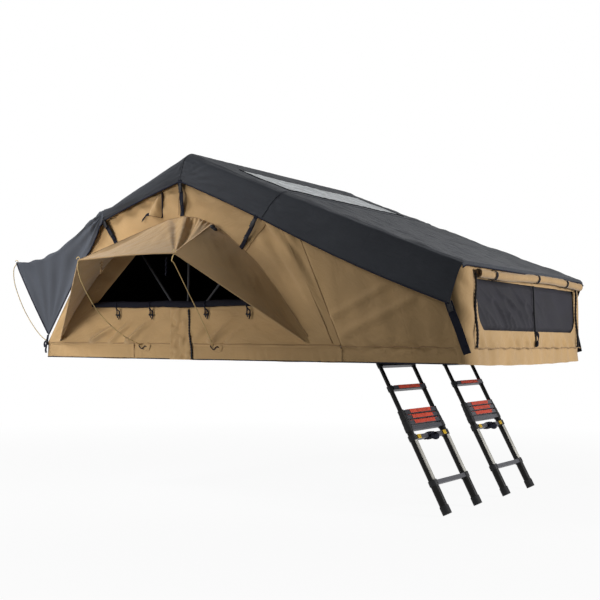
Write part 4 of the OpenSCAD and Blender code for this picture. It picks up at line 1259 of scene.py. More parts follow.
    @staticmethod
    def toggle(k: int, at: float) -> None:
        """A loop with its peg that ties the rolled cover to the sill.

        Args:
            k: its number.
            at: where it is along the sill.
        """
        seat = (at, 0.0, SILL_Z)
        parts = []
        for way in (-1, 1):
            over = [(0.0, 0.036, 0.036), (0.0, 0.048, 0.015), (0.0, 0.04, -0.01)]
            hang = [(0.01, 0.022, -0.03), (0.012, 0.019, -0.055), (0.004, 0.02, -0.078 - 0.006 * way)]
            line = curve(over + hang, 30) * (way, 1, 1) + seat
            parts.append(MAKE.tube(f"sill_loop_{k}_{way}", off_wall(line), 0.0042, BINDING, 7))
        line = curve([(-0.016, 0.022, -0.052), (0.0, 0.026, -0.056), (0.016, 0.022, -0.05)], 14) + seat
        parts.append(MAKE.tube(f"sill_peg_{k}", off_wall(line), 0.0065, PLASTIC, 9))
        MAKE.follow(MAKE.join(f"sill_toggle_{k + 1}", parts))

    def seams(self) -> None:
        """Sewn lines on both long walls, and the slit for the rear hoop on the near one."""
        for name, ends in (("left", (-1.195, -0.097)), ("right", (0.097, 1.205))):
            x = np.linspace(*ends, 120)
            line = np.stack([x, 0.104 + 0.002 * ripple(x, 0.0, 92, 0.3, 0.0)], axis=1)
            for side in Side:
                path = on_wall(line, 0.0065 + 0.0012 * ripple(x, 0.0, 91, 0.06, 0.0), side)
                MAKE.trim(f"{side.word}_seam_{name}", path, 0.0034, STITCH, 7)
        for name, corners in WALL_SEAMS.items():
            line = spaced(rounded(corners, 0.02), 60)
            off = 0.0075 + 0.6 * self.wall_relief(line[:, 0], line[:, 1])
            for side in Side:
                MAKE.trim(f"{side.word}_{name}_seam", on_wall(line, off, side), 0.0028, STITCH, 7)
        slit = curve([(-0.384, 0.826), (-0.366, 0.838), (-0.344, 0.838)], 20)
        taper = 0.005 * np.sin(np.linspace(0.4, 2.7, 20))
        MAKE.trim("rear_slit", on_wall(slit, 0.01), taper, BINDING, 7)

    @staticmethod
    def rod_patch(k: int, at: float) -> None:
        """The patch and the eye at the foot of a hood rod.

        Args:
            k: its number.
            at: where it is along the wall.
        """
        fold = Fold.FIXED if at < 0 else Fold.FOLDOUT
        u, v = lattice(np.linspace(-1, 1, 16), np.linspace(-1, 1, 12))
        x = at + 0.02 + u * 0.055 * (1 - 0.25 * (v < 0) * np.abs(v))
        z = 0.083 + v * 0.03
        out = 0.002 * (1 - u**4) * (1 - v**4) + 0.0015 * ripple(x, z, 93 + k, 0.03, 0.5, 0.6)
        grid = model(x, -(WALL_Y + 0.007 + out), z)
        cut = Cut(0.11, 0.06, "laid", ("near_wall_canvas",))
        MAKE.panel(f"rod_patch_{k + 1}", grid, (0, -1, 0), cut, fold, inside=None)
        start = [(-0.02, 0.01, 0.094), (-0.006, 0.022, 0.083), (0.012, 0.018, 0.068)]
        loop = curve(start + [(0.03, 0.012, 0.086), (0.045, 0.01, 0.083)], 30) + (at, 0.0, 0.0)
        MAKE.trim(f"rod_eye_{k + 1}", off_wall(loop), 0.0032, BINDING, 7, fold)


# The hood's seam on the wall, from its rear foot over the apex to its front foot: place along it, x and z

HOOD_SEAM = np.array([
    (0.00, -1.098, 0.114), (0.12, -1.020, 0.225), (0.26, -0.930, 0.345), (0.39, -0.830, 0.468),
    (0.50, -0.730, 0.578), (0.61, -0.630, 0.672), (0.74, -0.530, 0.748), (0.87, -0.420, 0.822),
    (1.00, -0.250, 0.893), (1.50, -0.120, 0.932), (2.00, 0.000, 0.947), (2.50, 0.120, 0.935),
    (3.00, 0.250, 0.888), (3.13, 0.360, 0.815), (3.26, 0.460, 0.737), (3.39, 0.580, 0.637),
    (3.50, 0.663, 0.560), (3.61, 0.750, 0.453), (3.74, 0.821, 0.359), (3.88, 0.930, 0.220),
    (4.00, 1.012, 0.116),
])

# Points on the hood's rods, from the foot to the hook

HOOD_RODS = {
    "left": [
        (-0.336, -1.104, 0.092), (-0.350, -1.300, 0.165), (-0.366, -1.500, 0.300),
        (-0.378, -1.640, 0.470), (-0.392, -1.675, 0.572), (-0.398, -1.668, 0.626),
    ],
    "right": [
        (0.261, -1.104, 0.090), (0.300, -1.284, 0.256), (0.324, -1.460, 0.425),
        (0.346, -1.628, 0.588), (0.350, -1.662, 0.606), (0.366, -1.668, 0.640),
    ],
}


@dataclass
class Hood:
    """The window hood, its rods and its small fittings."""

    reach: float = 0.567
    pleat: float = 0.165
    scallop: float = 0.034

    def build(self) -> None:
        """Makes the hood and what holds it out."""
        self.canvas()
        self.rods()
        self.fittings()

    @staticmethod
    def place(u: Grid, v: Grid) -> tuple[Grid, Grid, Grid, Grid]:
        """Points of the hood before its gathers.

        Args:
            u: from 0 at the rear foot to 4 at the front foot; 1 and 3 are the tips' creases.
            v: from 0 at the wall to 1 at the free edge.

        Returns:
            x, distance off the wall and z from the hinge line, and how far each point is on the hood's top.
        """
        x0, z0 = (np.interp(u, HOOD_SEAM[:, 0], HOOD_SEAM[:, k]) for k in (1, 2))
        (rear_x, _, rear_z), (front_x, _, front_z) = HOOD_TIPS
        middle_x, middle_z = (rear_x + front_x) / 2, (rear_z + front_z) / 2 + 0.01
        rim = np.array([
            (0.0, -1.072, 0.012, 0.114),
            (1.0, rear_x, 0.565, rear_z),
            (1.5, (rear_x + middle_x) / 2, 0.556, rear_z + 0.010),
            (2.0, middle_x, 0.553, middle_z),
            (2.5, (front_x + middle_x) / 2, 0.556, front_z + 0.004),
            (3.0, front_x, 0.565, front_z),
            (4.0, 0.985, 0.012, 0.114),
        ])
        x1, y1, z1 = (np.interp(u, rim[:, 0], rim[:, k]) for k in (1, 2, 3))
        top = between(u, 1.0, 3.0, 0.12)
        gusset = 1 - between(u, 1.0, 3.0, 0.05)
        swell = np.sin(pi * v)
        x, y, z = lerp(x0, x1, v), y1 * v, lerp(z0, z1, v) - 0.02 * swell * top
        inward = np.where(u < 2, 1.0, -1.0)
        x += inward * 0.016 * swell * gusset * np.sin(pi * np.clip(np.where(u < 2, u, 4 - u), 0, 1))
        x += 0.004 * ripple(v * 0.6, u * 0.3, 102, 0.05, pi / 2, 0.15) * swell * gusset
        z += 0.0025 * ripple(v * 0.5, u * 0.25, 101, 0.07, pi / 2, 0.25) * swell * top
        return x, y, z, top

    def gathers(self, x: Grid, y: Grid) -> Grid:
        """Pleats that run from the wall seam to the front tip, with small scallops at the seam.

        Args:
            x: places along the wall.
            y: distances off it.

        Returns:
            How far each point goes up.
        """
        tip_x = HOOD_TIPS[1][0]
        seat = tip_x + (x - tip_x) * self.reach / np.clip(self.reach - y, 0.02, None)
        grow = ease(y / 0.04) * np.clip(1 - y / self.reach, 0, 1) ** 0.75
        pleats = 0.028 * grow * bell(seat, 0.05, 0.15) * np.sin(seat * 2 * pi / self.pleat + 0.9)
        seam = ease(y / 0.012) * np.exp(-y / 0.05)
        return pleats + 0.01 * seam * bell(seat, 0.12, 0.15) * np.sin(seat * 2 * pi / self.scallop)

    def canvas(self) -> None:
        """The sheet with its gathers below the apex, and the hem round its free edge."""
        along = np.r_[unit(45)[:-1], np.linspace(1, 3, 150)[:-1], np.linspace(3, 4, 45)]
        x, y, z, top = self.place(*lattice(along, unit(56)))
        grid = model(x, -(WALL_Y + 0.006 + y), z + top * self.gathers(x, y))
        seam = MAKE.trim("hood_wall_seam", grid[2:-2, 0] + (0, -0.002, 0.001), 0.0032, STITCH, 7)
        # The hem is in the darker canvas copy: painted shade
        trims = [MAKE.trim("hood_hem", grid[1:-1, -1], 0.0042, CANVAS_PAINTED_SHADE), seam]
        for k, at in enumerate((1.0, 3.0)):
            line = grid[int(np.argmin(np.abs(along - at))), 1:-1] + (0, 0, 0.0008)
            trims.append(MAKE.trim(f"hood_seam_{k + 1}", line, 0.0026, STITCH, 7))
        cut = Cut(2.6, 0.8, "stretched", ("near_wall_canvas", "hood_rod_left", "hood_rod_right"))
        face = (0, -0.4, 0.9)
        MAKE.panel("window_hood_canvas", grid, face, cut, node="window_hood", inside=CANVAS, trims=trims)

    @staticmethod
    def rods() -> None:
        """The two sprung rods, each with a hook through the hood's eyelet."""
        turn = np.linspace(-0.6 * pi, 1.0 * pi, 26)
        hook = np.stack([0.014 * np.cos(turn) - 0.006, 0 * turn, 0.014 * np.sin(turn) + 0.006], axis=1)
        for (name, points), tip in zip(HOOD_RODS.items(), HOOD_TIPS):
            loop = np.array(tip) * (1, -1, 1) + hook
            node = "hood_rods" if name == "left" else ""
            sprung_rod("hood", name, seated(curve(points, 90)), seated(loop), node)

    @staticmethod
    def fittings() -> None:
        """The toggle at the gathers and the pulls inside the hood."""
        lumps = ((0.275, 0.858, 0.022), (0.292, 0.842, 0.019), (0.258, 0.846, 0.018), (0.276, 0.826, 0.014))
        bulge = np.sin(np.linspace(0.35, pi - 0.35, 14))
        parts = []
        for k, (x, z, r) in enumerate(lumps):
            line = curve([(x - 0.014, 0.0, z + 0.006), (x, 0.012, z), (x + 0.014, 0.004, z - 0.008)], 14)
            parts.append(MAKE.tube(f"knot_{k}", off_wall(line, 0.034), r * bulge, PLASTIC, 10))
        MAKE.follow(MAKE.join("hood_toggle", parts))
        s = unit(40)
        pulls = ((-0.355, -1.5, 0.632, 0.075, STITCH), (0.1, -1.4, 0.652, 0.115, BINDING))
        for k, (x, y, z, length, finish) in enumerate(pulls):
            path = model(x + 0.003 * np.sin(s * 25), y + 0.003 * np.cos(s * 25), z - length * s)
            MAKE.trim(f"hood_pull_{k + 1}", path, 0.0042 + 0.0016 * np.sin(s * 50), finish)


# The awning in x and z: where it starts under the fly, its free edge and the foot of its gores

AWNING_TOP, AWNING_TIP, AWNING_FOOT = (-0.658, 1.022), (-1.570, 0.693), (-1.196, 0.158)

# Straps from the fly's hem to the wall: upper and lower end in x and z, and how they follow the tent

STRAPS = (
    ("rear", (-0.674, 0.965), (-0.566, 0.793), Fold.FAN),
    ("ridge", (0.000, 1.190), (0.003, 0.950), Fold.FAN),
    ("front", (0.615, 0.918), (0.471, 0.713), Fold.FAN),
    ("entrance", (1.922, 0.362), (2.008, 0.062), Fold.PORCH),
)

# Webbing at the rear corners: points in x and z, and width

CORNER_TAILS = (
    ([(-1.197, 0.160), (-1.203, 0.135), (-1.206, 0.110), (-1.205, 0.085)], 0.026),
    ([(-1.206, 0.120), (-1.222, 0.112), (-1.230, 0.092), (-1.224, 0.070)], 0.020),
    ([(-1.206, 0.095), (-1.208, 0.070), (-1.212, 0.048), (-1.206, 0.030)], 0.022),
)

# Points on an awning rod, from the foot to the hook, with y as a distance from the middle

AWNING_ROD = [
    (-1.204, 1.045, 0.082), (-1.345, 1.046, 0.165), (-1.490, 1.048, 0.330),
    (-1.590, 1.052, 0.520), (-1.606, 1.055, 0.640), (-1.575, 1.058, 0.682),
]


def polar(x: Any, z: Any, middle: Pair) -> tuple[Any, Any]:
    """Distance and angle of points round a place."""
    return np.hypot(x - middle[0], z - middle[1]), np.arctan2(z - middle[1], x - middle[0])


@dataclass
class Fly:
    """The rain fly: roof, valances, clear panel, rear awning and straps."""

    half: float = 1.15
    strip: int = 18
    gore: int = 22
    skylight_along: Pair = (1.27, 1.85)
    skylight_across: Pair = (0.152, 0.858)
    awning_half: Pair = (1.149, 1.062)
    awning_sag: float = 0.088

    def build(self) -> None:
        """Makes the fly and what hangs on it."""
        grid, at, across = self.surface()
        normal = lift(grid)
        if normal[..., 2].sum() < 0:
            normal = -normal
        grid = grid + normal * self.relief(grid, at, across)[..., None]
        self.roof(grid, normal, at)
        self.skylight(grid, at, across)
        self.awning()
        for side in Side:
            self.corner_buckle(side)
            self.awning_rod(side)
            self.straps(side)

    @staticmethod
    def lines() -> tuple[Grid, Grid, Grid]:
        """Points along the fly's top edge and hem, and how far each is along, counted in hoops."""
        at = np.r_[np.arange(50) / 50, 1 + np.arange(50) / 50, 2 + np.arange(85) / 84]
        top, hem = (
            np.stack([np.interp(at, range(4), [corner[k] for corner in line]) for k in (0, 1)], axis=1)
            for line in (FLY_TOP, FLY_HEM)
        )
        for _ in range(2):
            top[1:-1] = (top[:-2] + 2 * top[1:-1] + top[2:]) / 4
        return top, hem, at

    def surface(self) -> tuple[Grid, Grid, Grid]:
        """The smooth fly as a grid, with how far each row is along and each column is round."""
        top, hem, at = self.lines()
        drop = unit(self.strip)
        bow = np.array((0.006, 0.004, -0.022))[np.minimum(at.astype(int), 2)] * np.sin(pi * (at % 1.0))
        corner = np.where(at > 0.1, 0.018 + 0.012 * bell(at, 1.0, 0.5), 0.18 * at)[:, None]
        foot = hem[:, 1:] + bow[:, None] * (1 - drop)
        swell = 0.006 * np.sin(pi * drop) - 0.012 * (1 - drop) ** 2 - 0.01 * ease((drop - 0.8) / 0.2)
        valance_x = lerp(hem[:, :1], top[:, :1], drop)
        near = points_of(valance_x, -(self.half + swell), lerp(foot, top[:, 1:] - corner, drop))
        flat = np.linspace(-0.93, 0.93, 64)[1:-1]
        span = np.r_[np.linspace(-1, -0.93, 7)[1:], flat, np.linspace(0.93, 1, 7)[:-1]]
        edge = np.clip((np.abs(span) - 0.925) / 0.075, 0.0, None)
        slack = 0.014 * np.abs(np.sin(pi * at))[:, None]
        height = top[:, 1:] - slack * (1 - span**6) - corner * edge**2
        roof = points_of(top[:, :1], self.half * 0.9915 * span, height)
        grid = np.concatenate([near, roof, near[:, ::-1] * (1, -1, 1)], axis=1)
        return grid, at, np.r_[drop - 1, np.linspace(0, 1, len(span)), 1 + drop]

    def relief(self, grid: Grid, at: Grid, across: Grid) -> Grid:
        """How far the fly's creases stand out.

        Args:
            grid: the smooth fly.
            at: how far each row is along.
            across: how far each column is round.

        Returns:
            A height for each point, in metres.
        """
        t, r = lattice(at, across)
        x, y, z = grid[..., 0], grid[..., 1], grid[..., 2]
        valance = np.clip(-r, 0, 1) + np.clip(r - 1, 0, 1)
        side = (valance > 0).astype(float)
        top = 1 - side
        away, turn = polar(x, z, (-0.01, 1.185))
        rays = np.sin(turn * 27.0) + 0.6 * np.sin(turn * 41.0 + 1.0)
        folds = 0.006 * (x > -0.01) * rays * ease(away / 0.03) * bell(away, 0.0, 0.24)
        folds += 0.003 * bell(t, 1.12, 0.16) * ripple(x, z, 111, 0.055, radians(72), 0.14)
        folds += 0.004 * np.sin(pi * valance) * ripple(x, z, 112, 0.2, radians(65), 0.25)
        folds += 0.004 * bell(t, 2.0, 0.06) * ripple(x, z, 113, 0.05, radians(20), 0.3)
        waves = 0.0045 * ripple(x, y, 114, 0.3, 0.25, 0.35) + 0.0032 * ripple(x, y, 115, 0.09, 1.3, 0.25)
        waves += 0.0022 * ripple(x * 0.22, y, 116, 0.1, pi / 2, 0.1)
        taut = between(t, 1.2, 1.92, 0.08) * ease((0.9 - np.abs(y)) / 0.1)
        off = np.where(side > 0, np.clip(1 - valance, 0, 1) * 0.15, self.half - np.abs(y))
        hold = (1 - 0.6 * taut) * (1 - 0.8 * bell(off, 0.0, 0.07)) * ease(t / 0.03) * ease((3.0 - t) / 0.02)
        for hoop in range(4):
            hold *= 1 - 0.85 * bell(t, hoop, 0.035) * top
        return (side * folds + top * waves) * hold

    def roof(self, grid: Grid, normal: Grid, at: Grid) -> None:
        """The sheet over the hoops, in two cuts that meet at the entrance, with bound hems.

        Args:
            grid: the creased fly.
            normal: its outward directions.
            at: how far each row is along.
        """
        split = int(np.argmin(np.abs(grid[:, 0, 0] - (SPLIT_X - 0.02)) + 10 * (at < 2)))
        main, front = seated(grid[: split + 1]), seated(grid[split:])
        seams = []
        for k, hoop in enumerate((1.0, 2.0)):
            i = int(np.argmin(np.abs(at - hoop)))
            line = main[i, 1:-1] + normal[i, 1:-1] * 0.001
            seams.append(MAKE.trim(f"fly_seam_{k + 1}", line, 0.0028, FLY, 7))
        self.sheet("rain_fly_main", main, Fold.FAN, Cut(2.75, 2.25, "stretched", HOOPS), 0.0, seams)
        cut = Cut(2.75, 0.75, "stretched", ("entrance_hoop",))
        self.sheet("rain_fly_front", front, Fold.PORCH, cut, flat_run(main, 0)[-1], [])
        nose = front[-1, self.strip - 1 : 1 - self.strip]
        lip = np.stack([nose + (0.001 * k, 0, -0.006 * k) for k in range(5)], axis=1)
        hem = MAKE.cloth("fly_front_hem", lip, FLY, FLY_UNDER, face=(1, 0, 0))
        MAKE.follow(hem, Fold.PORCH)
        edge = MAKE.trim("fly_front_binding", lip[:, -1], 0.0045, BINDING, fold=Fold.PORCH)

    @staticmethod
    def sheet(name: str, grid: Grid, fold: Fold, cut: Cut, begin: float, seams: list[Any]) -> None:
        """One cut of the fly with a bound hem on each side.

        Args:
            name: its name.
            grid: its points.
            fold: how it follows the tent.
            cut: the cloth that it is cut from; not used.
            begin: flat length at its first row.
            seams: seams sewn on it.
        """
        made = MAKE.cloth(name, grid, FLY, FLY_UNDER, face=(0, 0, 1), start=(begin, 0.0))
        MAKE.follow(made, fold, "rain_fly" if fold is Fold.FAN else "")
        hems = []
        for side, column in ((Side.NEAR, 0), (Side.FAR, -1)):
            edge = grid[:, column] + (0, 0.0005, 0)
            hems.append(MAKE.trim(f"{name}_hem_{side.word}", edge, 0.0048, BINDING, fold=fold))
        hems + seams

    def skylight(self, grid: Grid, at: Grid, across: Grid) -> None:
        """The clear panel between the ridge hoop and the front hoop, with a sewn edge.

        Args:
            grid: the creased fly.
            at: how far each row is along.
            across: how far each column is round.
        """
        spans = ((at, self.skylight_along), (across, self.skylight_across))
        inside = [(place > low) & (place < high) for place, (low, high) in spans]
        patch = seated(grid[np.ix_(*inside)]) + (0, 0, 0.0035)
        panel = MAKE.cloth("skylight_film", patch, FILM_PAINTED_REFLECTION, FILM_PAINTED_REFLECTION, 0.0012, (0, 0, 1))
        rim = np.vstack([patch[0], patch[1:, -1], patch[-1, -2::-1], patch[-2:0:-1, 0], patch[:1, 0]])
        edge = MAKE.trim("skylight_edge", rim, 0.004, FLY_UNDER, 7, flat=0.5)
        MAKE.follow(panel, Fold.FAN, "skylight_panel")

    def awning_grid(self, t: Grid) -> Grid:
        """The smooth awning: a sagging roof with a gore down to each rear corner.

        Args:
            t: places from its top to its free edge.

        Returns:
            Points by place and round it.
        """
        t = t[:, None]
        x, z = (lerp(AWNING_TOP[k], AWNING_TIP[k], t) for k in (0, 1))
        z = z - self.awning_sag * np.sin(pi * t**1.25)
        places = [-AWNING_TOP[0], -AWNING_FOOT[0], -AWNING_TIP[0]]
        low = np.interp(-x, places, [0.955, AWNING_FOOT[1], AWNING_TIP[1] - 0.006])
        half = lerp(*self.awning_half, t)
        low_half = lerp(half, 1.103, np.clip((z - low) / (AWNING_TOP[1] - AWNING_FOOT[1]), 0, 1))
        s = unit(self.gore)
        bow = 0.022 * np.sin(pi * s) * np.sin(pi * np.minimum(1.0, t * 1.05))
        gore = points_of(x, lerp(low_half, half, s) - bow, lerp(low, z, s))
        r = np.linspace(-1, 1, 62)[1:-1]
        roof = points_of(x, r * half, z - 0.016 * np.sin(pi * t) * (1 - r**4))
        return np.concatenate([gore * (1, -1, 1), roof, gore[:, ::-1]], axis=1)

    def awning_relief(self, grid: Grid, t: Grid) -> Grid:
        """How far the awning's creases stand out: fans from its top and from the foot of each gore.

        Args:
            grid: the smooth awning.
            t: places from its top to its free edge.

        Returns:
            A height for each point, in metres.
        """
        x, y, z = grid[..., 0], grid[..., 1], grid[..., 2]
        column = np.arange(grid.shape[1])
        gore = ((column < self.gore) | (column >= len(column) - self.gore)).astype(float)
        t = t[:, None]
        reach, angle = polar(x, z, AWNING_FOOT)
        folds = 0.008 * np.sin(angle * 22.0 + 1.2) * bell(reach, 0.35, 0.35)
        fall, fan = polar(x, z, (AWNING_TOP[0], 1.0))
        folds += 0.008 * np.sin(fan * 21.0 + 0.5) * ease(fall / 0.06) * bell(fall, 0.0, 0.45)
        folds += 0.007 * bell(t, 0.06, 0.12) * ripple(x, z, 121, 0.05, radians(-35), 0.15)
        waves = 0.006 * ripple(x, y, 122, 0.22, 1.2, 0.4)
        return (gore * folds + (1 - gore) * waves) * ease(t / 0.03) * ease((1 - t) / 0.05)

    def awning(self) -> None:
        """The rear awning with its hems and seams."""
        t = unit(64)
        grid = self.awning_grid(t)
        grid = seated(grid + lift(grid) * self.awning_relief(grid, t)[..., None])
        awning = MAKE.cloth("rear_awning_cloth", grid, AWNING, FLY_UNDER, face=(-0.3, 0, 1))
        free = grid[-1, self.gore - 1 : 1 - self.gore]
        trims = [MAKE.trim("awning_front_hem", free, 0.0045, BINDING)]
        for side, edge, seam in ((Side.NEAR, 0, self.gore), (Side.FAR, -1, -self.gore - 1)):
            trims.append(MAKE.trim(f"awning_hem_{side.word}", grid[:, edge], 0.0048, BINDING))
            line = grid[:, seam] + (0, 0, 0.001)
            trims.append(MAKE.trim(f"awning_seam_{side.word}", line, 0.0026, FLY, 7))
        MAKE.follow(awning, Fold.FAN, "rear_awning")

    @staticmethod
    def corner_buckle(side: Side) -> None:
        """The buckle and webbing tails that hold a gore to the base's rear corner.

        Args:
            side: which side.
        """
        off, step = 1.106, 0.004
        parts = []
        for k, (points, wide) in enumerate(CORNER_TAILS):
            line = curve(points, 22)
            path = model(line[:, 0], side.value * (off + step * k), line[:, 1])
            parts.append(MAKE.ribbon(f"tail_{k}", path, (0.9, 0.25 * side.value, 0.1), wide, 0.003))
        line = curve([(-1.206, 0.128), (-1.207, 0.108), (-1.206, 0.088)], 18)
        path = model(line[:, 0], side.value * (off + step), line[:, 1])
        body = 0.013 * (0.75 + 0.25 * np.cos(np.linspace(-2.4, 2.4, 18)) ** 2)
        parts.append(MAKE.tube("clip", path, body, PLASTIC, 10, 0.5))
        MAKE.follow(MAKE.join(f"corner_buckle_{side.word}", parts), Fold.FIXED)

    @staticmethod
    def awning_rod(side: Side) -> None:
        """One of the awning's sprung rods and its hook.

        Args:
            side: which side.
        """
        turn = np.linspace(-0.7 * pi, 0.9 * pi, 22)
        loop = model(-1.572 + 0.014 * np.cos(turn), side.value * 1.06, 0.697 + 0.013 * np.sin(turn))
        path = seated(curve(AWNING_ROD, 90)) * (1, side.value, 1)
        sprung_rod("awning", side.word, path, loop, "awning_rods" if side is Side.NEAR else "")

    def straps(self, side: Side) -> None:
        """Webbing from the fly's hem to the wall at each hoop, with its buckle.

        Args:
            side: which side.
        """
        for k, (place, high, low, fold) in enumerate(STRAPS):
            parts = self.strap(side, np.array(high), np.array(low), fold is Fold.FAN)
            node = f"{side.word}_straps" if k == 0 else ""
            MAKE.follow(MAKE.join(f"{side.word}_{place}_strap", parts), fold, node)

    @staticmethod
    def strap(side: Side, high: Grid, low: Grid, on_long_wall: bool) -> list[Any]:
        """The run, the buckles and the loose tail of one strap.

        Args:
            side: which side.
            high: its upper end, in x and z.
            low: its lower end.
            on_long_wall: whether it lies on a long wall or beside the entrance.

        Returns:
            Its parts.
        """
        s = unit(40)
        if on_long_wall:
            out = WALL_Y + 0.014 + 0.03 * (1 - s) ** 1.6 + 0.002 * np.sin(s * 14)
            wide, clips = 0.029, ((0.22, 0.03, 0.02), (0.62, 0.018, 0.019))
        else:
            out = lerp(1.134, 1.056, s) + 0.003 * np.sin(s * 9)
            wide, clips = 0.048, ((0.1, 0.03, 0.022),)
        run = aimed(low - high)
        across = np.cross((run[0], 0, run[1]), (0, 1, 0))
        path = model(lerp(high[0], low[0], s), side.value * out, lerp(high[1], low[1], s))
        parts = [MAKE.ribbon("run", path, across, wide, 0.0025)]
        for at, length, radius in clips:
            line = lerp(high, low, at) + run * (length * np.linspace(-1, 1, 16))[:, None]
            path = model(line[:, 0], side.value * (np.interp(at, s, out) + 0.004), line[:, 1])
            shape = radius * (0.8 + 0.2 * np.cos(np.linspace(-2.6, 2.6, 16)) ** 2)
            parts.append(MAKE.tube("clip", path, shape, PLASTIC, 10, 0.35))
        knots = []
        for at, aside, off in ((0.3, 0.006, 0.0), (0.55, 0.01, 0.006), (0.86, 0.004, 0.003)):
            x, z = lerp(high, low, at)
            knots.append((x + across[0] * aside, off, z))
        tail = curve(knots, 24)
        rest = np.interp(np.linspace(0.3, 0.86, 24), s, out) + 0.004 + tail[:, 1]
        path = model(tail[:, 0], side.value * rest, tail[:, 2])
        return parts + [MAKE.ribbon("tail", path, across, 0.026, 0.002)]


@dataclass
class Entrance:
    """The covered entrance: side walls, front wall, mesh and rolled cover."""

    foot_x: float = 2.03
    lean: float = 0.0523
    roll_z: float = 0.533
    side_split: float = 0.62
    corner_radius: float = 0.075
    opening_half: float = 0.905
    opening_top: float = 0.5
    opening_round: float = 0.11
    mesh_half: float = 0.958
    mesh_z: Pair = (0.186, 0.512)
    roll_ends: Pair = (-0.955, 0.985)
    ties: tuple[float, ...] = (-0.72, 0.04, 0.64)

    def build(self) -> None:
        """Makes the walls and what is sewn to them."""
        for side in Side:
            self.side_wall(side)
        self.front()
        self.mesh()
        self.mesh_pull()
        self.roll()
        self.zips()

    @staticmethod
    def side_half(x: Any, z: Any) -> Any:
        """Half width of the entrance at a place on its side wall.

        Args:
            x: places along the wall.
            z: heights.

        Returns:
            Distances from the middle; the wall turns in below its fold.
        """
        rear, front = 1.0978, 1.0385
        s = np.clip((x - 1.2) / 0.83, 0, 1)
        fold = np.maximum(0.06, 0.165 + (x - 1.215) * 0.5295 - 0.08)
        return lerp(lerp(rear, front, s), rear, np.clip(z / fold, 0, 1) ** 0.8)

    def front_x(self, z: Any) -> Any:
        """Where the front wall is at a height."""
        return self.foot_x - self.lean * z

    def side_grid(self, side: Side, s: Grid) -> Grid:
        """Points of a side wall.

        Args:
            side: which side.
            s: places from the front hoop to the front wall.

        Returns:
            Points by height and by place.
        """
        v = unit(60)
        rear_x = np.interp(v, (0, 0.12, 1), (1.2095, 1.2055, 0.786))[:, None]
        rear_z = np.interp(v, (0, 0.12, 1), (0.0, 0.1, 1.035))[:, None]
        x = lerp(rear_x, lerp(1.965, 1.925, v)[:, None], s)
        z = lerp(rear_z, lerp(0.0, 0.585, v)[:, None], s)
        lower = bell(z, 0.165 + (x - 1.215) * 0.46, 0.03) * between(x, 1.15, 1.75, 0.1)
        upper = bell(z, 0.315 + (x - 1.215) * 0.5, 0.022) * ease((x - 1.02) / 0.1) * ease((1.62 - x) / 0.2)
        relief = 0.013 * upper + 0.015 * lower
        relief += 0.006 * bell(z, 0.1, 0.05) * ripple(x, z, 131, 0.06, radians(80), 0.25)
        relief += 0.005 * ripple(x, z, 132, 0.26, 0.9, 0.5)
        relief += 0.002 * ease((0.1 - z) / 0.05) * ripple(x, z, 133, 0.12, 0.0, 0.2)
        hold = ease(s / 0.03)[None, :] * ease((1 - v) / 0.05)[:, None]
        return model(x, side.value * (self.side_half(x, z) + relief * hold), z)

    def side_wall(self, side: Side) -> None:
        """One side wall, in two cuts that meet below the fly, with its seams.

        Args:
            side: which side.
        """
        s = unit(90)
        grid = self.side_grid(side, s)
        split = int(np.argmin(np.abs(s - self.side_split)))
        run = s * 0.745 + 1.212
        foot = side.value * (self.side_half(run, 0.098) + 0.003)
        foot_line = model(run, foot, 0.098 + 0.003 * ripple(s, 0.0, 134, 0.2, 0.0))
        edge_line = grid[0] + (0, side.value * 0.001, 0.003)
        begin = flat_run(grid[:, : split + 1], 1)[-1]
        name = f"entrance_{side.word}"
        rear_cut = Cut(0.78, 1.08, "stretched", ("front_hoop",))
        front_cut = Cut(0.45, 0.85, "stretched", ("entrance_hoop",))
        cuts = (
            ("rear", slice(0, split + 1), Fold.FAN, f"{name}_wall", rear_cut, 0.0),
            ("front", slice(split, None), Fold.PORCH, "", front_cut, begin),
        )
        for part, columns, fold, node, cut, start in cuts:
            face = (0, side.value, 0)
            MAKE.panel(f"{name}_{part}", grid[:, columns], face, cut, fold, node, start=(0.0, start))
            MAKE.trim(f"{name}_foot_seam_{part}", foot_line[columns], 0.0034, STITCH, 7, fold)
            MAKE.trim(f"{name}_edge_{part}", edge_line[columns], 0.0034, BINDING, 7, fold)
        rear = grid[6:-1, 0] + (0.004, side.value * 0.001, 0)
        MAKE.trim(f"{name}_seam", rear, 0.0034, STITCH, 7)

    def wrap(self, q: Grid, z: Grid) -> tuple[Grid, Grid]:
        """Plan of the front wall: it turns round each corner to the side wall.

        Args:
            q: place along the front from -1 to 1.
            z: height.

        Returns:
            x and y, from the hinge line.
        """
        radius = self.corner_radius
        run = self.side_half(1.96, z) + 0.006 - radius
        arc = radius * pi / 2
        far = np.abs(q) * (run + arc + 0.012)
        turn = np.clip((far - run) / radius, 0, pi / 2)
        past = np.clip(far - run - arc, 0, None)
        x = self.front_x(z) - radius * (1 - np.cos(turn)) - past
        y = np.minimum(far, run) + radius * np.sin(turn)
        return x, np.sign(q) * y

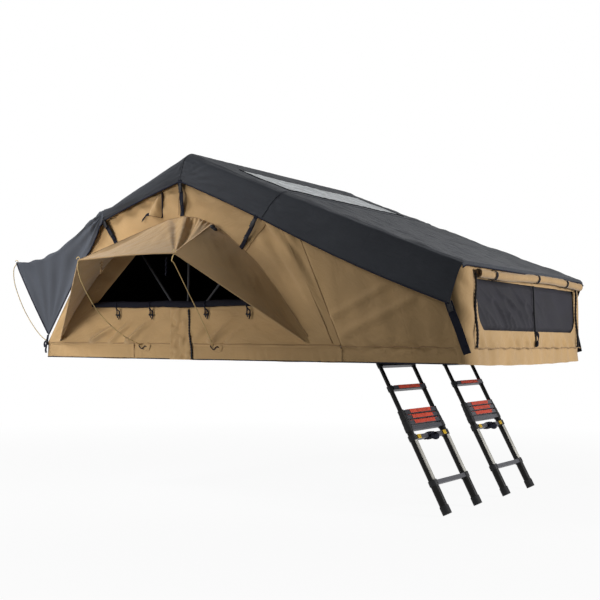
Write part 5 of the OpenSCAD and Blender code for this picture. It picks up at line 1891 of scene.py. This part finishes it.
    def front(self) -> None:
        """The front wall with its round-cornered opening, gathered above the foot seam."""
        top, width, round_z = 0.572, 1.12, 0.31
        edge, low = self.opening_half / width, self.opening_round / width
        bend = np.linspace(0, pi / 2, 9)
        corner = [(edge - low + low * sin(a), round_z - self.opening_round * cos(a)) for a in bend]
        mirror = [(-x, z) for x, z in corner]
        right, left = (edge, self.opening_top), (-edge, self.opening_top)
        inner = [mirror[4::-1] + corner[:5], corner[4:] + [right], [right, left], [left] + mirror[:3:-1]]
        loop = ring(sides_of((-1, 0.0), (1, 0.0), (1, top), (-1, top)), inner, (210, 46, 120, 46), 26)
        q, z = loop[..., 0], loop[..., 1]
        sag = (0.014 * (1 - q**2) + 0.0015 * ripple(q, 0.0, 146, 0.2, 0.0)) * np.clip(1 - z / 0.1, 0, 1)
        x, y = self.wrap(q, z)
        gather = bell(z, 0.125, 0.04) + 0.3 * ease((0.1 - z) / 0.03)
        x += 0.012 * gather * ripple(y, z * 0.8, 141, 0.13, 0.3, 0.4)
        x += 0.005 * ripple(y, z, 142, 0.2, 0.5, 0.6)
        side = ease((np.abs(q) - 0.82) / 0.1)
        x += np.where(q < 0, 0.011, 0.004) * side * ripple(y, z, 143, 0.2, 1.0, 0.3)
        cut = Cut(2.35, 0.6, "gathered", ("entrance_hoop",))
        grid = model(x, y, z - sag)
        MAKE.panel("entrance_front_canvas", grid, (1, 0, 0), cut, Fold.PORCH, "entrance_front")
        y = np.linspace(-0.99, 0.99, 160)
        out = self.front_x(0.094) + 0.013 + 0.003 * ripple(y, 0.0, 144, 0.05, 0.0)
        seam = model(out, y, 0.094 + 0.004 * ripple(y, 0.0, 145, 0.15, 0.0))
        MAKE.trim("front_foot_seam", seam, 0.0036, STITCH, 7, Fold.PORCH)

    def mesh(self) -> None:
        """The insect mesh in the front wall, slack on its near half, with its middle zip."""
        q, z = lattice(np.linspace(-1, 1, 150), np.linspace(*self.mesh_z, 44))
        bend = np.clip((0.31 - z) / 0.124, 0, 1)
        y = q * (self.mesh_half - 0.118 * (1 - np.sqrt(1 - bend**2)))
        slack = bell(y, -0.4, 0.45) * bell(z, 0.34, 0.13)
        creases = (1 - np.abs(ripple(y, z, 151, 0.15, radians(62), 0.16))) ** 2
        pull = 0.026 * slack * creases + 0.003 * ripple(y, z, 152, 0.3, 0.9, 0.5)
        edge = between(q, -1, 1, 0.06) * between(z, 0.2, 0.5, 0.03)
        grid = model(self.front_x(z) - 0.004 - 0.013 * (1 - edge) + edge * pull, y, z)
        net = MAKE.cloth("front_mesh_net", grid, NET, INSIDE_PAINTED_SHADE, 0.0008, (1, 0, 0))
        MAKE.follow(net, Fold.PORCH, "front_mesh")
        t = unit(70)
        up = lerp(0.1, 0.5, t)
        line = model(self.front_x(up) + 0.01, 0.04 + 0.003 * np.sin(t * 9), up)
        zip_line = MAKE.trim("mesh_zip", line, 0.0065 + 0.001 * np.sin(t * 150), ZIP, fold=Fold.PORCH)

    def mesh_pull(self) -> None:
        """The pull that hangs from the mesh's zip."""
        points = [(0.014, 0.045, 0.2), (0.024, 0.052, 0.165), (0.022, 0.04, 0.13), (0.016, 0.046, 0.105)]
        line = curve(points, 30) + (self.front_x(0.15), 0, 0)
        knots = 0.006 + 0.003 * np.sin(np.linspace(0, 9, 30))
        MAKE.trim("mesh_zip_pull", seated(line), knots, BINDING, fold=Fold.PORCH)

    def roll_middle(self, y: Any) -> tuple[float, Any]:
        """The rolled cover's middle line: x, and z at each place."""
        return self.front_x(self.roll_z) + 0.031, self.roll_z + 0.004 + 0.01 * np.cos((y - 0.3) * 3.1)

    def roll(self) -> None:
        """The canvas cover rolled up above the mesh: a spiral of cloth with three ties."""
        turns = np.linspace(0, 2 * pi * 3.2, 90)
        y, turn = lattice(np.linspace(*self.roll_ends, 110), turns)
        pinch = sum(0.16 * bell(y, at, 0.035) for at in self.ties)
        lumps = 0.07 * ripple(y, turn * 0.01, 161, 0.45, 0.0) + 0.04 * ripple(y, turn * 0.02, 162, 0.12, 0.5)
        radius = (0.01 + 0.0175 * turn / turns[-1]) * (1 + lumps - pinch)
        x, z = self.roll_middle(y)
        grid = model(x + radius * np.cos(turn + 1.9), y, z + radius * 1.06 * np.sin(turn + 1.9))
        # The rolled cover is in the darker canvas copy: painted shade of the roll
        roll = MAKE.cloth("front_cover_rolled", grid, CANVAS_PAINTED_SHADE, CANVAS_PAINTED_SHADE)
        MAKE.follow(roll, Fold.PORCH, "front_cover_roll")
        s = np.linspace(-0.75 * pi, 0.95 * pi, 44)
        girth = 0.0285
        for k, at in enumerate(self.ties):
            x, z = self.roll_middle(at)
            path = model(x + girth * np.cos(s), at + 0.004 * np.sin(s * 2), z + girth * 1.04 * np.sin(s))
            tie = MAKE.ribbon(f"cover_tie_{k + 1}", path, (0, 1, 0), 0.022, 0.0025)
            MAKE.follow(tie, Fold.PORCH)

    def zips(self) -> None:
        """The dark zips up the front wall's corners."""
        t = unit(70)
        z = lerp(0.098, 0.545, t)
        x = self.front_x(z) + 0.012 + 0.003 * np.sin(t * 10)
        teeth = 0.0085 + 0.0015 * np.sin(t * 120)
        for side, low, high in ((Side.NEAR, -0.985, -0.955), (Side.FAR, 0.925, 0.945)):
            line = model(x, lerp(low, high, t) + 0.006 * np.sin(t * 8), z)
            MAKE.trim(f"front_zip_{side.word}", line, teeth, ZIP, 8, Fold.PORCH, 0.7)


@dataclass
class Ladder:
    """One telescopic ladder: finishes by face, a painted reflection, treads, and the tie round its second
    rung.
    """

    side: Side
    pin: Pair = (1.849, 0.052)
    lean: float = radians(27.6)
    rungs: tuple[float, ...] = (0.882, 0.582, 0.522, 0.486, 0.45, 0.414, 0.246, 0.08)
    treads: tuple[int, ...] = (4, 5, 6, 7)
    reflection_section: int = 2
    width: float = 0.486
    middle: float = 0.5
    thinnest: float = 0.013
    tube_step: float = 0.0018
    foot_top: float = 0.147
    # Direction towards the light, for the painted reflection
    lit: tuple[float, float, float] = (0.857, 0.515, 0.0)

    def build(self) -> None:
        """Dresses each section and its latches, and makes the treads and the tie."""
        name = self.side.word
        for k in range(1, len(self.rungs)):
            self.section(f"{name}_ladder_step_{k}", k)
        self.section(f"{name}_ladder_top", len(self.rungs))
        for k in self.treads:
            self.tread(name, k)
        for hand in ("left", "right"):
            dress(f"{name}_latch_{hand}", LATCH)
        self.tie(name)

    def seat(self) -> Grid:
        """The middle of the ladder's hinge pin."""
        return np.array([self.pin[0], self.side.value * self.middle, self.pin[1]])

    def axes(self) -> Grid:
        """The ladder's own axes: out of it, across it, up it."""
        c, s = cos(self.lean), sin(self.lean)
        return np.array([(c, 0.0, s), (0.0, 1.0, 0.0), (-s, 0.0, c)])

    def local(self, points: Grid) -> Grid:
        """Points of the model's frame in the ladder's own."""
        return (points - self.seat()) @ self.axes().T

    def out(self, points: Grid) -> Grid:
        """Points of the ladder's own frame in the model's."""
        return self.seat() + points @ self.axes()

    def section(self, name: str, k: int) -> None:
        """Gives each face of a section its finish; on one section the faces towards the light get a painted
        reflection.

        Args:
            name: the CAD node.
            k: the section's number from the foot.
        """
        finishes = (TUBE, COLLAR, RUNG, TREAD, RUBBER, TUBE_PAINTED_REFLECTION)
        data = dress(name, *finishes)
        at = self.local(np.array([face.center for face in data.polygons]))
        up = at[:, 2] + self.rungs[k - 1]
        tube = self.thinnest + (len(self.rungs) - k) * self.tube_step
        wide = np.hypot(at[:, 0], np.abs(at[:, 1]) - self.width / 2)
        inside = np.abs(at[:, 1]) < self.width / 2 - tube - 0.0035
        kind = np.zeros(len(at), int)
        # Painted reflection: faces turned towards the light get the pale tube finish
        if k == self.reflection_section:
            facing = np.array([face.normal for face in data.polygons]) @ np.array(self.lit)
            kind[facing > 0.12] = finishes.index(TUBE_PAINTED_REFLECTION)
        kind[(np.abs(up) < 0.0185) & (wide > tube + 0.0008)] = finishes.index(COLLAR)
        kind[inside & (np.abs(up) < 0.0142)] = finishes.index(RUNG)
        if k in self.treads:
            kind[inside & (up > 0.0137)] = finishes.index(TREAD)
        if k == 1:
            kind[up < -self.foot_top] = finishes.index(RUBBER)
        data.polygons.foreach_set("material_index", kind.astype(np.int32))

    def tread(self, name: str, k: int) -> None:
        """A ribbed tread that wraps over a rung's top and front.

        Args:
            name: the ladder's side.
            k: the rung's number from the foot.
        """
        low = -0.008 if k == max(self.treads) else -0.0095
        top = [(x, 0.0166 + 0.0003 * (i % 2)) for i, x in enumerate(np.linspace(-0.012, 0.0155, 9))]
        nose = [(0.0155 + 0.0042 * sin(a), 0.0127 + 0.0042 * cos(a)) for a in (0.5, 1.0)]
        face = [(0.0196 + 0.0004 * (i % 2), z) for i, z in enumerate(np.linspace(0.012, low, 9))]
        back = [(0.0179, low), (0.0179, 0.0142), (-0.012, 0.0159)]
        outline = np.array(top + nose + face + back)
        middle = outline.mean(axis=0)
        slices = ((-0.152, 0.94), (-0.15, 1.0), (-0.05, 1.0), (0.05, 1.0), (0.15, 1.0), (0.152, 0.94))
        rings = []
        for y, shrink in slices:
            x, z = (middle + (outline - middle) * shrink).T
            rings.append(points_of(x, y, z - self.rungs[k - 1]))
        points = self.out(np.vstack(rings))
        sides, last = len(outline), len(points)
        faces = [tuple(range(sides))[::-1], tuple(range(last - sides, last)), *bands(len(slices), sides)]
        pad = MAKE.mesh(f"{name}_tread_{k}", points, faces, None, TREAD)
        MAKE.even(pad)
        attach(pad, f"{name}_ladder_step_{k}")

    def tie(self, name: str) -> None:
        """The strap knotted round the middle of the second rung.

        Args:
            name: the ladder's side.
        """
        seat = (0.0, 0.0, -self.rungs[1])
        turn = np.linspace(0, 2 * pi * 0.985, 40)
        square = (np.abs(np.cos(turn)) ** 3 + np.abs(np.sin(turn)) ** 3) ** (-1 / 3)
        parts = []
        for k, (y, grow, tilt) in enumerate(((-0.03, 0.0, 0.2), (0.0, 0.003, -0.15), (0.028, 0.001, 0.1))):
            x, z = (0.0225 + grow) * square * np.cos(turn), (0.0185 + grow) * square * np.sin(turn)
            path = points_of(x, y + tilt * 0.05 * np.sin(turn), z) + seat
            parts.append(MAKE.ribbon(f"turn_{k}", self.out(path), (0, 1, 0), 0.034, 0.004))
        left = [(0.026, -0.05, -0.012), (0.036, -0.022, -0.022), (0.04, 0.004, -0.026)]
        knot = curve(left + [(0.034, 0.03, -0.016), (0.027, 0.046, 0.004)], 26) + seat
        bulge = 0.019 * np.sin(np.linspace(0.5, pi - 0.5, 26))
        parts.append(MAKE.tube("knot", self.out(knot), bulge, STRAP, 12))
        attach(MAKE.join(f"{name}_ladder_tie", parts), f"{name}_ladder_step_2")


@dataclass
class Studio:
    """Floor, white surroundings, soft lights and the camera."""

    floor_z: float = -0.926
    floor_half: float = 30.0
    eye: tuple[float, float, float] = (5.009, -6.846, 0.135)
    turn: float = 31.298
    pitch: float = -2.107
    roll: float = 0.421
    lens: float = 65.195
    white_rays: tuple[str, ...] = ("Is Camera Ray", "Is Glossy Ray", "Is Transmission Ray")

    def build(self) -> None:
        """Sets everything round the tent."""
        self.camera()
        self.world()
        self.floor()
        self.lamp("key", (-2.3, -3.2, 3.2), (-0.1, -1.2, 0.6), 1.3, 35.0, 90.0)
        self.lamp("low", (-0.9, -5.0, 0.7), (-0.1, -1.1, 0.3), 1.6, 14.5, 55.0)
        self.lamp("front", (7.2, 0.4, 0.95), (2.6, 0.0, 0.37), 2.0, 66.0, 90.0)
        self.lamp("back", (1.6, 4.6, 3.6), (1.2, 0.0, 0.9), 2.6, 6.0, 120.0)

    def camera(self) -> None:
        """The camera, at the photograph's place."""
        pose = Matrix.Translation(Vector(self.eye))
        for angle, axis in ((self.turn, "Z"), (90.0 - self.pitch, "X"), (self.roll, "Z")):
            pose = pose @ Matrix.Rotation(radians(angle), 4, axis)
        data = bpy.data.cameras.new("camera")
        data.lens, data.sensor_width, data.sensor_fit = self.lens, 36.0, "HORIZONTAL"
        data.clip_end = 200.0
        camera = bpy.data.objects.new("camera", data)
        camera.matrix_world = pose
        bpy.context.scene.collection.objects.link(camera)
        bpy.context.scene.camera = camera

    def seen(self, graph: Graph) -> Value:
        """1 for the rays that should find white: from the camera, in gloss and through clear film."""
        camera, gloss, through = (graph.node("LightPath", {}, ray) for ray in self.white_rays)
        return camera.top(gloss).top(through)

    def world(self) -> None:
        """White to look at, a plain grey as light."""
        world = bpy.data.worlds.new("studio")
        world.use_nodes = True
        bpy.context.scene.world = world
        graph = Graph(world.node_tree)
        white = graph.node("Background", {"Color": (1, 1, 1, 1), "Strength": 1.0})
        light = graph.node("Background", {"Color": (0.94, 0.97, 1.0, 1), "Strength": 0.13})
        both = graph.node("MixShader", {0: self.seen(graph), 1: light, 2: white})
        graph.node("OutputWorld", {"Surface": both})

    def floor(self) -> None:
        """A wide pale floor under the ladders' feet, which keeps the shadow."""
        steps = np.linspace(-self.floor_half, self.floor_half, 9)
        x, y = lattice(steps, steps)
        made = bpy.data.materials.new("floor_pale")
        made.use_nodes = True
        graph = Graph(made.node_tree)
        paint = graph.node("BsdfDiffuse", {"Color": (0.82, 0.82, 0.82, 1)})
        white = graph.node("Emission", {"Color": (1, 1, 1, 1), "Strength": 1.0})
        under = {0: graph.place("Object"), 1: (1.2, 0.0, self.floor_z)}
        away = graph.node("VectorMath", under, "Value", operation="DISTANCE")
        shown = self.seen(graph) * graph.ramp(away * 0.1, (0.2, 0.93), (0.65, 1.0))
        both = graph.node("MixShader", {0: shown, 1: paint, 2: white})
        graph.node("OutputMaterial", {"Surface": both})
        points = model(x, y, self.floor_z).reshape(-1, 3)
        floor = MAKE.mesh("studio_floor", points, quads(len(steps), len(steps)), None, CANVAS)
        floor.data.materials[0] = made

    @staticmethod
    def lamp(
        name: str, at: Sequence[float], to: Sequence[float], size: float, power: float, spread: float
    ) -> None:
        """One soft area lamp.

        Args:
            name: its name.
            at: where it is.
            to: what it points at.
            size: its side.
            power: its power.
            spread: how wide its light goes, in degrees.
        """
        data = bpy.data.lights.new(name, "AREA")
        data.spread = radians(spread)
        data.shape, data.size, data.energy = "SQUARE", size, power
        lamp = bpy.data.objects.new(name, data)
        way = Vector(to) - Vector(at)
        lamp.matrix_world = Matrix.Translation(Vector(at)) @ way.to_track_quat("-Z", "Y").to_matrix().to_4x4()
        bpy.context.scene.collection.objects.link(lamp)


def main() -> None:
    """Builds every sub-assembly in order."""
    logging.basicConfig(level=logging.INFO, format="%(message)s")
    bpy.context.scene.view_settings.view_transform = "Standard"
    for part in (Studio(), Base(), Walls(), Hood(), Fly(), Entrance(), Ladder(Side.NEAR), Ladder(Side.FAR)):
        part.build()
        LOG.info("%s done", type(part).__name__)
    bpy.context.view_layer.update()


if __name__ == "__main__":
    main()
